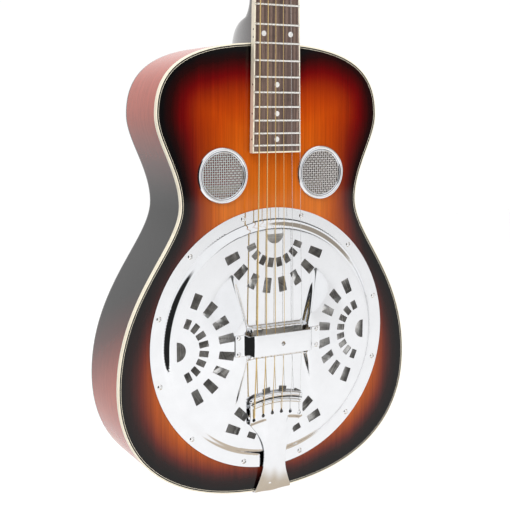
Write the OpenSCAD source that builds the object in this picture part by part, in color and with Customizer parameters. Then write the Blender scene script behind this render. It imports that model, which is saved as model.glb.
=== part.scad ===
// Resonator guitar with a spider bridge, square to the world: it stands upright, neck up,
// strings towards -Y. Lengths are in millimetres. The origin is the back of the neck at the
// nut, where a wall hanger carries the instrument. +X is the treble side.

/* [Strings] */
// Scale length, from the nut to the saddle
scale_length = 635; // [625:1:645]
// String spacing at the nut
nut_spacing = 7.4; // [7:0.1:7.8]
// String spacing at the saddle
saddle_spacing = 11.2; // [10.8:0.1:11.4]
// Height of the strings above the soundboard at the saddle
saddle_height = 17; // [16.5:0.1:17.5]

/* [Body] */
// Depth of the body, over the soundboard and the back
body_depth = 83; // [80:1:95]
// Half width of the upper bout
upper_half = 134; // [130:1:138]
// Half width of the waist
waist_half = 108; // [106:1:112]
// Half width of the lower bout
lower_half = 180; // [178:1:184]
// Thickness of the soundboard
top_thick = 3.5; // [3:0.5:4]
// Thickness of the back
back_thick = 3; // [2.5:0.5:4]
// Thickness of the bent sides
side_thick = 2.5; // [2:0.5:3]

/* [Resonator] */
// Radius of the coverplate
cover_r = 145; // [144:0.5:147]
// Thickness of the coverplate's sheet
cover_sheet = 1; // [0.8:0.1:1.2]
// Radius of the spun cone
cone_r = 133.5; // [132:0.5:134]
// Number of coverplate screws
cover_screw_count = 12; // [8:1:16]

/* [Neck] */
// Width of the fretboard at the nut
nut_width = 45; // [44:0.5:47]
// Height of the fretboard's playing face above the soundboard
board_height = 9.2; // [9:0.1:10]
// Number of frets
fret_count = 19; // [18:1:19]
// Backward tilt of the headstock, in degrees
head_tilt = 14; // [12:1:16]

/* [Hidden] */
$fn = 48;
gap = 0.05;

// Planes across the instrument. front(h) is the plane h in front of the soundboard's face.
face_y = -13;
back_y = face_y + body_depth;
function front(h) = face_y - h;

// Levels along the instrument, from the nut downwards.
bridge_z = -scale_length;
body_top_z = bridge_z + 318.5;
body_end_z = bridge_z - 173;
board_end_z = -431;

// Binding, lining and neck sizes.
bind_w = 1.5;
top_bind_h = 6;
back_bind_h = 3;
lining_w = 6.5;
lining_h = 12;
board_thick = 6.5;
board_taper = 0.0314;
nut_thick = 5;
board_under_y = front(board_height - board_thick);

/* ---------- Shared geometry ---------- */

// A plate cut from a flat outline in X and Z, its front at y0.
module slab(y0, thick) {
  translate([0, y0 + thick, 0])
    rotate([90, 0, 0])
      linear_extrude(thick)
        children();
}

// A turned part with its axis along Y. Its profile gives radius and y.
module turned_y(x = 0, z = 0) {
  translate([x, 0, z])
    rotate([-90, 0, 0])
      rotate_extrude($fn = 96)
        children();
}

// A rod along Y.
module rod_y(r, y0, y1, x = 0, z = 0) {
  translate([x, y0, z])
    rotate([-90, 0, 0])
      cylinder(r = r, h = y1 - y0);
}

// Keeps the half of a shape on one side of the centre line.
module keep_side(side) {
  intersection() {
    children();
    translate([side > 0 ? 0 : -400, -100, -900])
      cube([400, 300, 1200]);
  }
}

function bez(p, t) = pow(1 - t, 3) * p[0] + 3 * pow(1 - t, 2) * t * p[1]
  + 3 * (1 - t) * t * t * p[2] + pow(t, 3) * p[3];
function bez_slope(p, t) = 3 * pow(1 - t, 2) * (p[1] - p[0]) + 6 * (1 - t) * t * (p[2] - p[1])
  + 3 * t * t * (p[3] - p[2]);
function unit(v) = v / norm(v);
function inset_point(p, t, d) =
  let (s = unit(bez_slope(p, t))) bez(p, t) + d * [s[1], -s[0]];

/* ---------- Body outline ---------- */

// Treble half of the outline, from the top centre to the tail, as four Bezier curves.
upper_z = bridge_z + 243;
waist_z = bridge_z + 151;
lower_z = bridge_z - 39;
outline_curves = [
  [[0, body_top_z], [92, body_top_z], [upper_half, upper_z + 54], [upper_half, upper_z]],
  [[upper_half, upper_z], [upper_half, upper_z - 26], [waist_half, waist_z + 35],
    [waist_half, waist_z]],
  [[waist_half, waist_z], [waist_half, waist_z - 43], [lower_half, lower_z + 99],
    [lower_half, lower_z]],
  [[lower_half, lower_z], [lower_half, lower_z - 84], [114, body_end_z], [0, body_end_z]]
];
outline_steps = 12;

function half_outline(d) = [
  for (c = outline_curves)
    for (i = [0 : outline_steps - 1])
      inset_point(c, i / outline_steps, d)
];

module body_outline(d = 0) {
  right = concat(half_outline(d), [[0, body_end_z + d]]);
  last = len(right) - 1;
  left = [for (i = [last - 1 : -1 : 1]) [-right[i][0], right[i][1]]];
  polygon(concat(right, left));
}

module outline_ring(d_out, d_in) {
  difference() {
    body_outline(d_out);
    body_outline(d_in);
  }
}

/* ---------- Body ---------- */

screen_x = 60;
screen_z = bridge_z + 181;
screen_hole_r = 26;
well_in_r = 135;
well_out_r = 141;
top_hole_r = well_in_r;
cover_screw_r = 139;
wood_screw_r = 1.4;
strap_screw_r = 2.2;
strap_y = face_y + 41;

module at_cover_screws() {
  for (i = [0 : cover_screw_count - 1]) {
    a = (i + 0.5) * 360 / cover_screw_count;
    translate([cover_screw_r * cos(a), 0, bridge_z + cover_screw_r * sin(a)])
      children();
  }
}

module soundboard() {
  color("chocolate")
    difference() {
      slab(face_y, top_thick)
        difference() {
          body_outline(bind_w);
          translate([0, bridge_z])
            circle(r = top_hole_r, $fn = 96);
          for (side = [-1, 1])
            translate([side * screen_x, screen_z])
              circle(r = screen_hole_r);
        }
      at_cover_screws()
        rod_y(wood_screw_r + gap, face_y - 1, face_y + top_thick + 1);
      rod_y(wood_screw_r + gap, face_y - 1, face_y + top_thick + 1, tail_screw_x, tail_screw_z);
    }
}

module back_plate() {
  color("saddlebrown")
    slab(back_y - back_thick, back_thick)
      body_outline(bind_w);
}

module side_wall() {
  slab(face_y + top_bind_h, body_depth - top_bind_h - back_bind_h)
    outline_ring(0, side_thick);
  slab(face_y + top_thick, top_bind_h - top_thick)
    outline_ring(bind_w, side_thick);
}

module side_holes() {
  for (y = neck_bolt_y)
    translate([0, y, body_top_z - 10])
      cylinder(r = neck_bolt_r + gap, h = 20);
  translate([0, strap_y, body_end_z - 5])
    cylinder(r = strap_screw_r + gap, h = 15);
}

module bass_side() {
  color("brown")
    keep_side(-1)
      difference() {
        side_wall();
        side_holes();
      }
}

module treble_side() {
  color("brown")
    keep_side(1)
      difference() {
        side_wall();
        side_holes();
      }
}

module top_binding() {
  color("ivory")
    slab(face_y, top_bind_h)
      outline_ring(0, bind_w);
}

module back_binding() {
  color("ivory")
    slab(back_y - back_bind_h, back_bind_h)
      outline_ring(0, bind_w);
}

block_half = 34;
neck_block_len = 50;
tail_block_len = 24;
inner_top_z = body_top_z - side_thick;
inner_end_z = body_end_z + side_thick;
inner_y = face_y + top_thick;
inner_depth = body_depth - top_thick - back_thick;

module block_area(z0, z1, grow = 0) {
  translate([-block_half - grow, z0 - grow])
    square([2 * (block_half + grow), z1 - z0 + 2 * grow]);
}

module linings() {
  color("burlywood")
    for (y = [inner_y, back_y - back_thick - lining_h])
      slab(y, lining_h)
        difference() {
          outline_ring(side_thick, side_thick + lining_w);
          block_area(inner_top_z - neck_block_len, inner_top_z + 5);
          block_area(inner_end_z - 5, inner_end_z + tail_block_len);
        }
}

module neck_block() {
  color("tan")
    difference() {
      slab(inner_y, inner_depth)
        intersection() {
          body_outline(side_thick);
          block_area(inner_top_z - neck_block_len, inner_top_z + 5);
        }
      for (y = neck_bolt_y)
        translate([0, y, inner_top_z - neck_block_len - 1])
          cylinder(r = neck_bolt_r + gap, h = neck_block_len + 5);
    }
}

module tail_block() {
  color("tan")
    difference() {
      slab(inner_y, inner_depth)
        intersection() {
          body_outline(side_thick);
          block_area(inner_end_z - 5, inner_end_z + tail_block_len);
        }
      translate([0, strap_y, inner_end_z - 5])
        cylinder(r = strap_screw_r + gap, h = 22 + 5);
      rod_y(wood_screw_r + gap, inner_y - 1, inner_y + 8, tail_screw_x, tail_screw_z);
    }
}

// The well is a plywood ring from the top to the back, with windows that let the cone's sound
// into the body, and a ledge that the cone's rim rests on.
ledge_y = face_y + 6;
ledge_in_r = 126;
well_window_count = 9;

module soundwell() {
  color("wheat")
    difference() {
      turned_y(0, bridge_z)
        polygon([
          [well_in_r, inner_y], [well_out_r, inner_y], [well_out_r, inner_y + inner_depth],
          [well_in_r, inner_y + inner_depth], [well_in_r, ledge_y + 4], [ledge_in_r, ledge_y + 4],
          [ledge_in_r, ledge_y], [well_in_r, ledge_y]
        ]);
      for (i = [0 : well_window_count - 1])
        translate([0, face_y + 25, bridge_z])
          rotate([0, i * 360 / well_window_count, 0])
            translate([well_in_r - 10, 0, -22])
              cube([30, 35, 44]);
      at_cover_screws()
        rod_y(wood_screw_r + gap, inner_y - 1, inner_y + 12);
    }
}

// Cross braces under the top and on the back, clear of the well.
brace_w = 8;
brace_top_h = 14;

module braces() {
  color("wheat")
    difference() {
      union() {
        for (z = [bridge_z + 238, bridge_z + 147])
          slab(inner_y, brace_top_h)
            brace_area(z);
        for (z = [bridge_z + 238, bridge_z + 160, bridge_z - 150])
          slab(back_y - back_thick - brace_top_h, brace_top_h)
            brace_area(z);
      }
      linings_space();
    }
}

module brace_area(z) {
  intersection() {
    body_outline(side_thick + lining_w);
    translate([-200, z - brace_w / 2])
      square([400, brace_w]);
  }
}

module linings_space() {
  slab(inner_y - 1, inner_depth + 2)
    block_area(inner_end_z - 5, inner_end_z + tail_block_len, 0.5);
}

/* ---------- Resonator ---------- */

cone_sheet = 0.8;
cone_rim_y = ledge_y - cone_sheet;
cone_valley_r = 62;
cone_valley_y = cone_rim_y + 32;
cone_apex_r = 12;
cone_apex_y = cone_rim_y + 14;
screw_r = 2;

module cone() {
  color("gainsboro")
    turned_y(0, bridge_z)
      polygon([
        [screw_r + 0.4, cone_apex_y], [cone_apex_r, cone_apex_y],
        [cone_valley_r, cone_valley_y], [ledge_in_r - 2, cone_rim_y],
        [cone_r, cone_rim_y], [cone_r, cone_rim_y + cone_sheet],
        [ledge_in_r - 2, cone_rim_y + cone_sheet],
        [cone_valley_r, cone_valley_y + cone_sheet * 1.2],
        [cone_apex_r, cone_apex_y + cone_sheet * 1.2], [screw_r + 0.4, cone_apex_y + cone_sheet]
      ]);
}

// Spider: a hub with eight legs whose feet stand on the cone's rim. The hub carries the saddle.
leg_count = 8;
leg_w = 5;
hub_r = 17;
hub_front_h = 3;
hub_back_h = -9;
leg_end_r = 130;
leg_hub_h = 1.5;
leg_foot_h = -2;
leg_thick = 3;
saddle_bar_h = 9;
saddle_thick = 3;
saddle_half = 30.5;

module spider_leg() {
  // Side profile in radius and height, drawn from the hub out to the foot.
  rotate([90, 0, 90])
    translate([0, 0, -leg_w / 2])
      linear_extrude(leg_w)
        polygon([
          [hub_r - 3, leg_hub_h], [leg_end_r - 8, leg_foot_h], [leg_end_r, leg_foot_h],
          [leg_end_r, -(cone_rim_y - face_y)], [leg_end_r - 5, -(cone_rim_y - face_y)],
          [leg_end_r - 8, leg_foot_h - leg_thick + 0.6], [hub_r - 3, leg_hub_h - leg_thick - 3]
        ]);
}

module spider() {
  color("silver")
    difference() {
      union() {
        rod_y(hub_r, front(hub_front_h), front(hub_back_h), 0, bridge_z);
        for (i = [0 : leg_count - 1])
          translate([0, face_y, bridge_z])
            rotate([0, (i + 0.5) * 360 / leg_count, 0])
              rotate([90, 0, 0])
                spider_leg();
        translate([-saddle_half, front(saddle_bar_h), bridge_z - 4.5])
          cube([2 * saddle_half, saddle_bar_h - hub_back_h - 6, 9]);
      }
      rod_y(screw_r + gap, front(saddle_bar_h + 1), front(hub_back_h - 1), 0, bridge_z);
      rod_y(4.2, front(saddle_bar_h + 1), front(saddle_bar_h - 3.5), 0, bridge_z);
      translate([-saddle_half - 1, front(saddle_bar_h + 1), bridge_z - saddle_thick / 2])
        cube([saddle_half - 4, 6, saddle_thick]);
      translate([5, front(saddle_bar_h + 1), bridge_z - saddle_thick / 2])
        cube([saddle_half - 4, 6, saddle_thick]);
    }
}

// Two maple inserts, one each side of the tension screw, notched for the strings.
module saddle() {
  color("burlywood")
    difference() {
      for (side = [-1, 1])
        translate([side > 0 ? 5 : -saddle_half + 1, front(saddle_height - 0.1),
          bridge_z - saddle_thick / 2])
          cube([saddle_half - 6, saddle_height - saddle_bar_h + 5 - 0.1, saddle_thick]);
      for (k = [1 : 6])
        translate([saddle_x(k), front(saddle_height), bridge_z - saddle_thick])
          cylinder(r = string_r(k) + gap, h = 2 * saddle_thick);
    }
}

module tension_screw() {
  color("silver")
    difference() {
      union() {
        rod_y(screw_r, front(saddle_bar_h - 3), cone_apex_y + 6, 0, bridge_z);
        rod_y(3.6, front(saddle_bar_h), front(saddle_bar_h - 3), 0, bridge_z);
      }
      translate([-5, front(saddle_bar_h + 1), bridge_z - 0.5])
        cube([10, 2.2, 1]);
    }
}

/* ---------- Coverplate ---------- */

step_out_r = 131;
step_in_r = 124;
floor_h = 5.5;
dome_out_r = 117;
dome_in_r = 50;
dome_in_h = 13;
channel_half = 34;
channel_start = 17;
channel_spread = 0.25;
collar_half_x = 33;
collar_half_z = 17;
collar_h = 12.5;
fan_r = 117;
fan_slot_angles = [9.5, 28, 47, 66];

// The plate seen from the side, as a turned sheet: rim, step and floor.
module cover_floor_profile() {
  polygon([
    [20, front(floor_h)], [step_in_r, front(floor_h)], [step_out_r, front(cover_sheet)],
    [cover_r, front(cover_sheet)], [cover_r, front(0)], [step_out_r - 0.6, front(0)],
    [step_in_r - 0.4, front(floor_h - cover_sheet)], [20, front(floor_h - cover_sheet)]
  ]);
}

// The two side sectors are a low cone that stands in front of the floor.
module cover_dome_profile() {
  polygon([
    [25, front(dome_in_h)], [dome_in_r, front(dome_in_h)], [dome_out_r, front(floor_h - 0.2)],
    [dome_out_r - 4, front(floor_h - cover_sheet)],
    [dome_in_r - 0.3, front(dome_in_h - cover_sheet)], [25, front(dome_in_h - cover_sheet)]
  ]);
}

// Area between the string channel and the edge, one on each side.
module sector_area(inset = 0) {
  far = 160;
  edge = channel_half + inset;
  slope = far * channel_spread;
  for (side = [-1, 1])
    translate([0, bridge_z])
      polygon([
        [side * edge, -channel_start], [side * (edge + slope), -channel_start - far],
        [side * 200, -channel_start - far], [side * 200, channel_start + far],
        [side * (edge + slope), channel_start + far], [side * edge, channel_start]
      ]);
}

module fan_cuts() {
  for (turn = [0, 90, 180, 270])
    translate([0, bridge_z])
      rotate(turn)
        translate([0, fan_r]) {
          intersection() {
            circle(r = 10.5);
            translate([-20, -20])
              square([40, 20]);
          }
          for (side = [-1, 1])
            for (a = fan_slot_angles)
              rotate(180 + side * a) {
                translate([-3.4, 26])
                  square([6.8, 10.5]);
                polygon([[-4.2, 48], [4.2, 48], [4.9, 64.6], [-4.9, 64.6]]);
              }
        }
}

module collar_area(inset = 0) {
  translate([-collar_half_x + inset, bridge_z - collar_half_z + inset])
    square([2 * (collar_half_x - inset), 2 * (collar_half_z - inset)]);
}

module coverplate() {
  color("whitesmoke")
    difference() {
      union() {
        difference() {
          turned_y(0, bridge_z)
            cover_floor_profile();
          slab(front(floor_h + 1), floor_h - 0.5)
            intersection() {
              sector_area(0.5);
              translate([0, bridge_z])
                circle(r = dome_out_r - 4.5, $fn = 96);
            }
          slab(front(floor_h + 1), floor_h - 0.5)
            collar_area(cover_sheet);
        }
        intersection() {
          turned_y(0, bridge_z)
            cover_dome_profile();
          slab(front(dome_in_h + 1), dome_in_h + 2)
            sector_area(0);
        }
        intersection() {
          slab(front(dome_in_h + 1), dome_in_h + 1 - floor_h + cover_sheet)
            difference() {
              sector_area(0);
              sector_area(cover_sheet);
            }
          turned_y(0, bridge_z)
            polygon([
              [20, front(dome_in_h)], [dome_in_r, front(dome_in_h)],
              [dome_out_r, front(floor_h - 0.2)], [dome_out_r - 4, front(floor_h - cover_sheet)],
              [20, front(floor_h - cover_sheet)]
            ]);
        }
        slab(front(collar_h), collar_h - floor_h + cover_sheet)
          difference() {
            collar_area();
            collar_area(cover_sheet);
          }
      }
      slab(front(dome_in_h + 1), dome_in_h + 2)
        fan_cuts();
      at_cover_screws()
        rod_y(wood_screw_r + gap, front(cover_sheet + 1), front(-1));
      for (side_x = [-1, 1])
        for (side_z = [-1, 1])
          rod_y(rest_screw_r + gap, front(dome_in_h + 1), front(2),
            side_x * rest_screw_x, bridge_z + side_z * rest_screw_z);
    }
}

module round_screw(r_head, r_shaft, y0, depth, x, z) {
  rod_y(r_shaft, y0 - 0.01, y0 + depth, x, z);
  turned_y(x, z)
    polygon([
      [0, y0], [r_head, y0], [r_head, y0 - 0.4], [r_head * 0.72, y0 - 1.1],
      [r_head * 0.35, y0 - 1.45], [0, y0 - 1.5]
    ]);
}

module coverplate_screws() {
  color("silver")
    at_cover_screws()
      round_screw(2.9, wood_screw_r, front(cover_sheet), 12, 0, 0);
}

/* ---------- Palm rest ---------- */

rest_h = 25;
rest_sheet = 1.5;
rest_half_x = 35.5;
rest_half_z = 11.75;
rest_foot_x = 42;
rest_flange_x = 53;
rest_screw_x = 48.5;
rest_screw_z = 9;
rest_screw_r = 1.5;

module palm_rest() {
  foot = front(dome_in_h);
  top = front(rest_h);
  color("whitesmoke")
    difference() {
      translate([0, 0, bridge_z - rest_half_z])
        linear_extrude(2 * rest_half_z)
          polygon([
            [-rest_flange_x, foot], [-rest_flange_x, foot - rest_sheet],
            [-rest_foot_x, foot - rest_sheet], [-rest_half_x, top], [rest_half_x, top],
            [rest_foot_x, foot - rest_sheet], [rest_flange_x, foot - rest_sheet],
            [rest_flange_x, foot], [rest_foot_x - 1.2, foot],
            [rest_half_x - 1.3, top + rest_sheet], [-rest_half_x + 1.3, top + rest_sheet],
            [-rest_foot_x + 1.2, foot]
          ]);
      rod_y(2.2, top - 1, top + rest_sheet + 1, 0, bridge_z);
      for (side_x = [-1, 1])
        for (side_z = [-1, 1])
          rod_y(rest_screw_r + gap, foot - rest_sheet - 1, foot + 1,
            side_x * rest_screw_x, bridge_z + side_z * rest_screw_z);
    }
}

module palm_rest_screws() {
  color("silver")
    for (side_x = [-1, 1])
      for (side_z = [-1, 1])
        round_screw(2.4, rest_screw_r, front(dome_in_h + rest_sheet), 6,
          side_x * rest_screw_x, bridge_z + side_z * rest_screw_z);
}

/* ---------- Screens ---------- */

ring_r = 29.5;
mesh_r = 23;
mesh_h = 0.8;

module screen_ring(side) {
  color("whitesmoke")
    turned_y(side * screen_x, screen_z)
      polygon([
        [mesh_r, front(1.4)], [mesh_r + 1.5, front(1.8)], [mesh_r + 2.2, front(3)],
        [ring_r - 2, front(3)], [ring_r - 0.5, front(1.8)], [ring_r, front(0)],
        [screen_hole_r - gap, front(0)], [screen_hole_r - gap, front(-3)],
        [mesh_r + 1.5, front(-3)], [mesh_r + 1.5, front(mesh_h)], [mesh_r, front(mesh_h)]
      ]);
}

module screen_mesh(side) {
  color("dimgray")
    rod_y(mesh_r + 1.4, front(mesh_h), front(0), side * screen_x, screen_z);
}

module bass_screen_ring() { screen_ring(-1); }
module treble_screen_ring() { screen_ring(1); }
module bass_screen_mesh() { screen_mesh(-1); }
module treble_screen_mesh() { screen_mesh(1); }

/* ---------- Tailpiece ---------- */

tail_sheet = 1.6;
tail_screw_x = -4.5;
tail_screw_z = bridge_z - 164;
stem_half = 13.4;
wing_half = 33;
tail_foot_half = 23;
fold_y = face_y + 60;
string_bar_z = bridge_z - 59;
string_bar_h = 9.4;
string_bar_r = 3;
ball_z = bridge_z - 83;

// Right edge of the tailpiece from the tail to the string bar.
function tail_edge() = concat(
  [[tail_foot_half, bridge_z - 180], [tail_foot_half, bridge_z - 173]],
  [for (i = [0 : 6]) bez([[tail_foot_half, bridge_z - 172], [17.5, bridge_z - 158],
    [stem_half, bridge_z - 148], [stem_half, bridge_z - 133]], i / 6)],
  [for (i = [1 : 8]) bez([[stem_half, bridge_z - 133], [stem_half, bridge_z - 112],
    [24, bridge_z - 100], [wing_half, bridge_z - 91]], i / 8)],
  [[wing_half, string_bar_z + string_bar_r]]
);

module tail_outline() {
  right = tail_edge();
  last = len(right) - 1;
  polygon(concat(right, [for (i = [last : -1 : 0]) [-right[i][0], right[i][1]]]));
}

// Side profile in y and z: a strip that folds over the tail and rises over the coverplate.
fold_z = body_end_z - 0.4;
tail_line = [
  [front(11.4), string_bar_z], [front(11), bridge_z - 88], [front(9.2), bridge_z - 108],
  [front(8.3), bridge_z - 126], [front(4.6), bridge_z - 138], [front(3.4), bridge_z - 150],
  [front(2.4), bridge_z - 172]
];

module tail_strip() {
  last = len(tail_line) - 1;
  outer = concat(tail_line, [[front(1.2), fold_z - tail_sheet], [fold_y, fold_z - tail_sheet]]);
  inner = concat(
    [[fold_y, fold_z], [front(0.6), fold_z]],
    [for (i = [last : -1 : 0]) [tail_line[i][0] + tail_sheet, tail_line[i][1]]]
  );
  rotate([90, 0, 90])
    translate([0, 0, -60])
      linear_extrude(120)
        polygon(concat(outer, inner));
}

module tailpiece() {
  color("whitesmoke")
    difference() {
      union() {
        intersection() {
          tail_strip();
          slab(-60, 200)
            tail_outline();
        }
        translate([-wing_half, front(string_bar_h), string_bar_z])
          rotate([0, 90, 0])
            cylinder(r = string_bar_r, h = 2 * wing_half);
      }
      for (k = [1 : 6])
        rod_y(1.8, front(14), front(8.4), tail_x(k), ball_z);
      translate([0, strap_y, body_end_z - 5])
        cylinder(r = strap_screw_r + gap, h = 8);
      rod_y(wood_screw_r + gap, front(6), front(-1), tail_screw_x, tail_screw_z);
    }
}

// Felt pad under the tailpiece's head, between it and the coverplate.
module tailpiece_felt() {
  color("black")
    translate([-26, front(9.4), bridge_z - 79])
      cube([52, 9.4 - floor_h, 12]);
}

module tail_screws() {
  color("silver") {
    translate([0, strap_y, fold_z - tail_sheet - 15])
      cylinder(r = strap_screw_r, h = 15 + 22);
    round_screw(2.2, wood_screw_r, front(2.9), 10, tail_screw_x, tail_screw_z);
  }
}

module strap_button() {
  base_z = fold_z - tail_sheet;
  color("silver")
    translate([0, strap_y, base_z])
      rotate([180, 0, 0])
        rotate_extrude()
          polygon([
            [strap_screw_r + gap, 0], [6.5, 0], [4.4, 4], [4.4, 8], [7, 12.5], [6.6, 14.5],
            [strap_screw_r + gap, 15]
          ]);
}

/* ---------- Neck ---------- */

function board_half(z) = (nut_width - z * board_taper) / 2;
shaft_back_y = 0;
heel_len = 26;
heel_half = 24;
heel_cap_half = 15;
heel_cap_thick = 2;
heel_back_y = back_y - heel_cap_thick;
neck_bolt_r = 3;
neck_bolt_y = [face_y + 26, face_y + 58];
neck_bolt_len = 14;
rod_r = 2.5;
tongue_w = 48;

// Section of the shaft: flat under the fretboard, rounded behind.
module shaft_section(half, depth) {
  linear_extrude(0.1)
    polygon(concat(
      [[half, board_under_y], [-half, board_under_y]],
      [for (i = [1 : 11])
        let (a = 180 + i * 15)
          [half * cos(a), board_under_y + 1.5 - (depth - 1.5) * sin(a)]]
    ));
}

module neck_shaft() {
  z_low = body_top_z + heel_len + 12;
  hull() {
    translate([0, 0, nut_thick - 0.1])
      shaft_section(nut_width / 2, shaft_back_y - board_under_y);
    translate([0, 0, z_low])
      shaft_section(board_half(z_low), shaft_back_y - board_under_y + 2.5);
  }
  hull() {
    translate([0, 0, z_low])
      shaft_section(board_half(z_low), shaft_back_y - board_under_y + 2.5);
    translate([0, 0, body_top_z - 3])
      shaft_section(board_half(body_top_z), shaft_back_y - board_under_y + 4);
  }
}

// The heel narrows towards the cap and is rounded on its neck side.
module heel() {
  intersection() {
    hull() {
      for (side = [-1, 1])
        translate([side * (heel_half - 9), board_under_y + 4, body_top_z - 3])
          cylinder(r = 9, h = heel_len + 9, $fn = 32);
      for (side = [-1, 1])
        translate([side * (heel_cap_half - 7), heel_back_y - 7, body_top_z - 3])
          cylinder(r = 7, h = heel_len + 3, $fn = 32);
    }
    heel_profile();
  }
}

// Side view of the heel: a rounded corner at the cap and a curve into the shaft.
module heel_profile() {
  z0 = body_top_z;
  rotate([90, 0, 90])
    translate([0, 0, -60])
      linear_extrude(120)
        polygon(concat(
          [[board_under_y, z0 - 3], [board_under_y, z0 + heel_len + 12]],
          [for (i = [0 : 6]) bez([[shaft_back_y + 2, z0 + heel_len + 12],
            [shaft_back_y + 9, z0 + heel_len + 8], [shaft_back_y + 12, z0 + heel_len + 1],
            [shaft_back_y + 26, z0 + heel_len]], i / 6)],
          [for (i = [0 : 6]) bez([[shaft_back_y + 38, z0 + heel_len],
            [shaft_back_y + 54, z0 + heel_len - 2], [heel_back_y - 3, z0 + 14],
            [heel_back_y, z0 + 3]], i / 6)],
          [[heel_back_y, z0 - 3]]
        ));
}

// Places a shape in the headstock's own frame: its face is the plane y = 0 there, and z runs
// up the face from the nut.
head_face_drop = 3;
module on_head() {
  translate([0, front(board_height) + head_face_drop, nut_thick])
    rotate([-head_tilt, 0, 0])
      children();
}

head_half = 32;
head_len = 176;
head_wood = 15;
veneer = 1.6;
slot_in = 6.5;
slot_out = 23.5;
slot_low = 17;
slot_high = 146;
slot_r = (slot_out - slot_in) / 2;

module head_outline(inset = 0) {
  w = head_half - inset;
  n = nut_width / 2 - inset;
  right = concat(
    [[n, -6], [n, 0]],
    [for (i = [1 : 8]) bez([[n, 0], [n, 12], [w, 10], [w, 26]], i / 8)],
    [[w, 152]],
    [for (i = [1 : 8]) bez([[w, 152], [w, 166], [w - 14, 160], [14, head_len - 6]], i / 8)],
    [for (i = [1 : 4]) bez([[14, head_len - 6], [9, head_len - 2], [5, head_len],
      [0, head_len]], i / 4)]
  );
  last = len(right) - 1;
  polygon(concat(right, [for (i = [last - 1 : -1 : 0]) [-right[i][0], right[i][1]]]));
}

module head_slots() {
  for (side = [-1, 1])
    translate([side * (slot_in + slot_r), 0]) {
      translate([-slot_r, slot_low + slot_r])
        square([2 * slot_r, slot_high - slot_low - 2 * slot_r]);
      translate([0, slot_low + slot_r])
        circle(r = slot_r - 0.01);
      translate([0, slot_high - slot_r])
        circle(r = slot_r - 0.01);
    }
}

post_s = [48, 84, 120];
post_y = veneer + head_wood / 2;
post_r = 3;
post_in = 3.5;

// Tuners 6, 5, 4 are on the bass side from the nut up, and 1, 2, 3 on the treble side.
function tuner_side(k) = k > 3 ? -1 : 1;
function tuner_s(k) = post_s[k > 3 ? 6 - k : k - 1];

module head_wood_part() {
  on_head()
    difference() {
      slab(veneer, head_wood)
        head_outline();
      slab(0, head_wood + 10)
        head_slots();
      for (k = [1 : 6])
        translate([0, post_y, tuner_s(k)])
          rotate([0, tuner_side(k) * 90, 0])
            translate([0, 0, post_in])
              cylinder(r = post_r + gap, h = 40);
      for (side = [-1, 1])
        for (s = plate_screw_s)
          translate([side * (head_half - 7), post_y, s])
            rotate([0, side * 90, 0])
              cylinder(r = 1.2 + gap, h = 10);
      for (s = cover_screw_s)
        rod_y(1 + gap, 0, veneer + 6, 0, s);
    }
}

module neck() {
  color("maroon")
    difference() {
      union() {
        neck_shaft();
        heel();
        head_wood_part();
        neck_tongue();
      }
      // The body's end, the truss rod's channel and the bolt holes.
      slab(face_y, body_depth)
        body_outline();
      translate([-rod_r - gap, board_under_y - 1, body_top_z + 6])
        cube([2 * (rod_r + gap), 1 + 8, 400]);
      for (y = neck_bolt_y)
        translate([0, y, body_top_z - 5])
          cylinder(r = neck_bolt_r + gap, h = neck_bolt_len + 5);
      translate([-40, -60, -5])
        cube([80, 60 + board_under_y, nut_thick + 5]);
    }
}

// Thin tongue that carries the fretboard over the soundboard.
module neck_tongue() {
  translate([-tongue_w / 2, board_under_y, board_end_z + 4])
    cube([tongue_w, face_y - board_under_y, body_top_z - board_end_z]);
}

module heel_cap() {
  color("ivory")
    difference() {
      translate([0, 0, body_top_z - 3])
        linear_extrude(6)
          polygon([
            [-heel_cap_half + 5, heel_back_y], [heel_cap_half - 5, heel_back_y],
            [heel_cap_half - 7, back_y], [-heel_cap_half + 7, back_y]
          ]);
      slab(face_y, body_depth)
        body_outline();
    }
}

module neck_bolts() {
  color("silver")
    for (y = neck_bolt_y) {
      translate([0, y, inner_top_z - neck_block_len])
        cylinder(r = neck_bolt_r, h = neck_block_len + side_thick + neck_bolt_len);
      translate([0, y, inner_top_z - neck_block_len - 5])
        cylinder(r = 6.5, h = 5);
    }
}

module truss_rod() {
  color("dimgray")
    translate([0, board_under_y + rod_r + 2, body_top_z + 8])
      cylinder(r = rod_r, h = -body_top_z - 8 - 2);
}

/* ---------- Fretboard ---------- */

function fret_z(n) = -scale_length * (1 - pow(2, -n / 12));
function dot_z(n) = (fret_z(n - 1) + fret_z(n)) / 2;
dot_frets = [5, 7, 9, 12, 15, 17, 19];
dot_r = 2.8;
twin_dot_x = 16;
fret_tang_w = 0.6;
fret_tang_h = 1.8;
fret_h = 1.1;

module board_area(inset) {
  polygon([
    [-board_half(0) + inset, 0], [board_half(0) - inset, 0],
    [board_half(board_end_z) - inset, board_end_z + inset],
    [-board_half(board_end_z) + inset, board_end_z + inset]
  ]);
}

function dot_places() = [
  for (n = dot_frets)
    for (x = n == 12 ? [-twin_dot_x, twin_dot_x] : [0])
      [x, dot_z(n)]
];

module fretboard() {
  color("sienna")
    difference() {
      slab(front(board_height), board_thick)
        board_area(bind_w);
      for (n = [1 : fret_count])
        translate([-40, front(board_height) - 1, fret_z(n) - fret_tang_w / 2])
          cube([80, 1 + fret_tang_h, fret_tang_w]);
      for (p = dot_places())
        rod_y(dot_r, front(board_height) - 1, front(board_height) + 1.5, p[0], p[1]);
    }
}

module fretboard_binding() {
  color("ivory")
    difference() {
      slab(front(board_height), board_thick)
        difference() {
          board_area(0);
          translate([0, 0.01])
            board_area(bind_w);
        }
      for (p = side_dot_places())
        side_dot(p, gap);
    }
}

function side_dot_places() = [
  for (n = dot_frets)
    for (dz = n == 12 ? [-4, 4] : [0])
      dot_z(n) + dz
];

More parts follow.
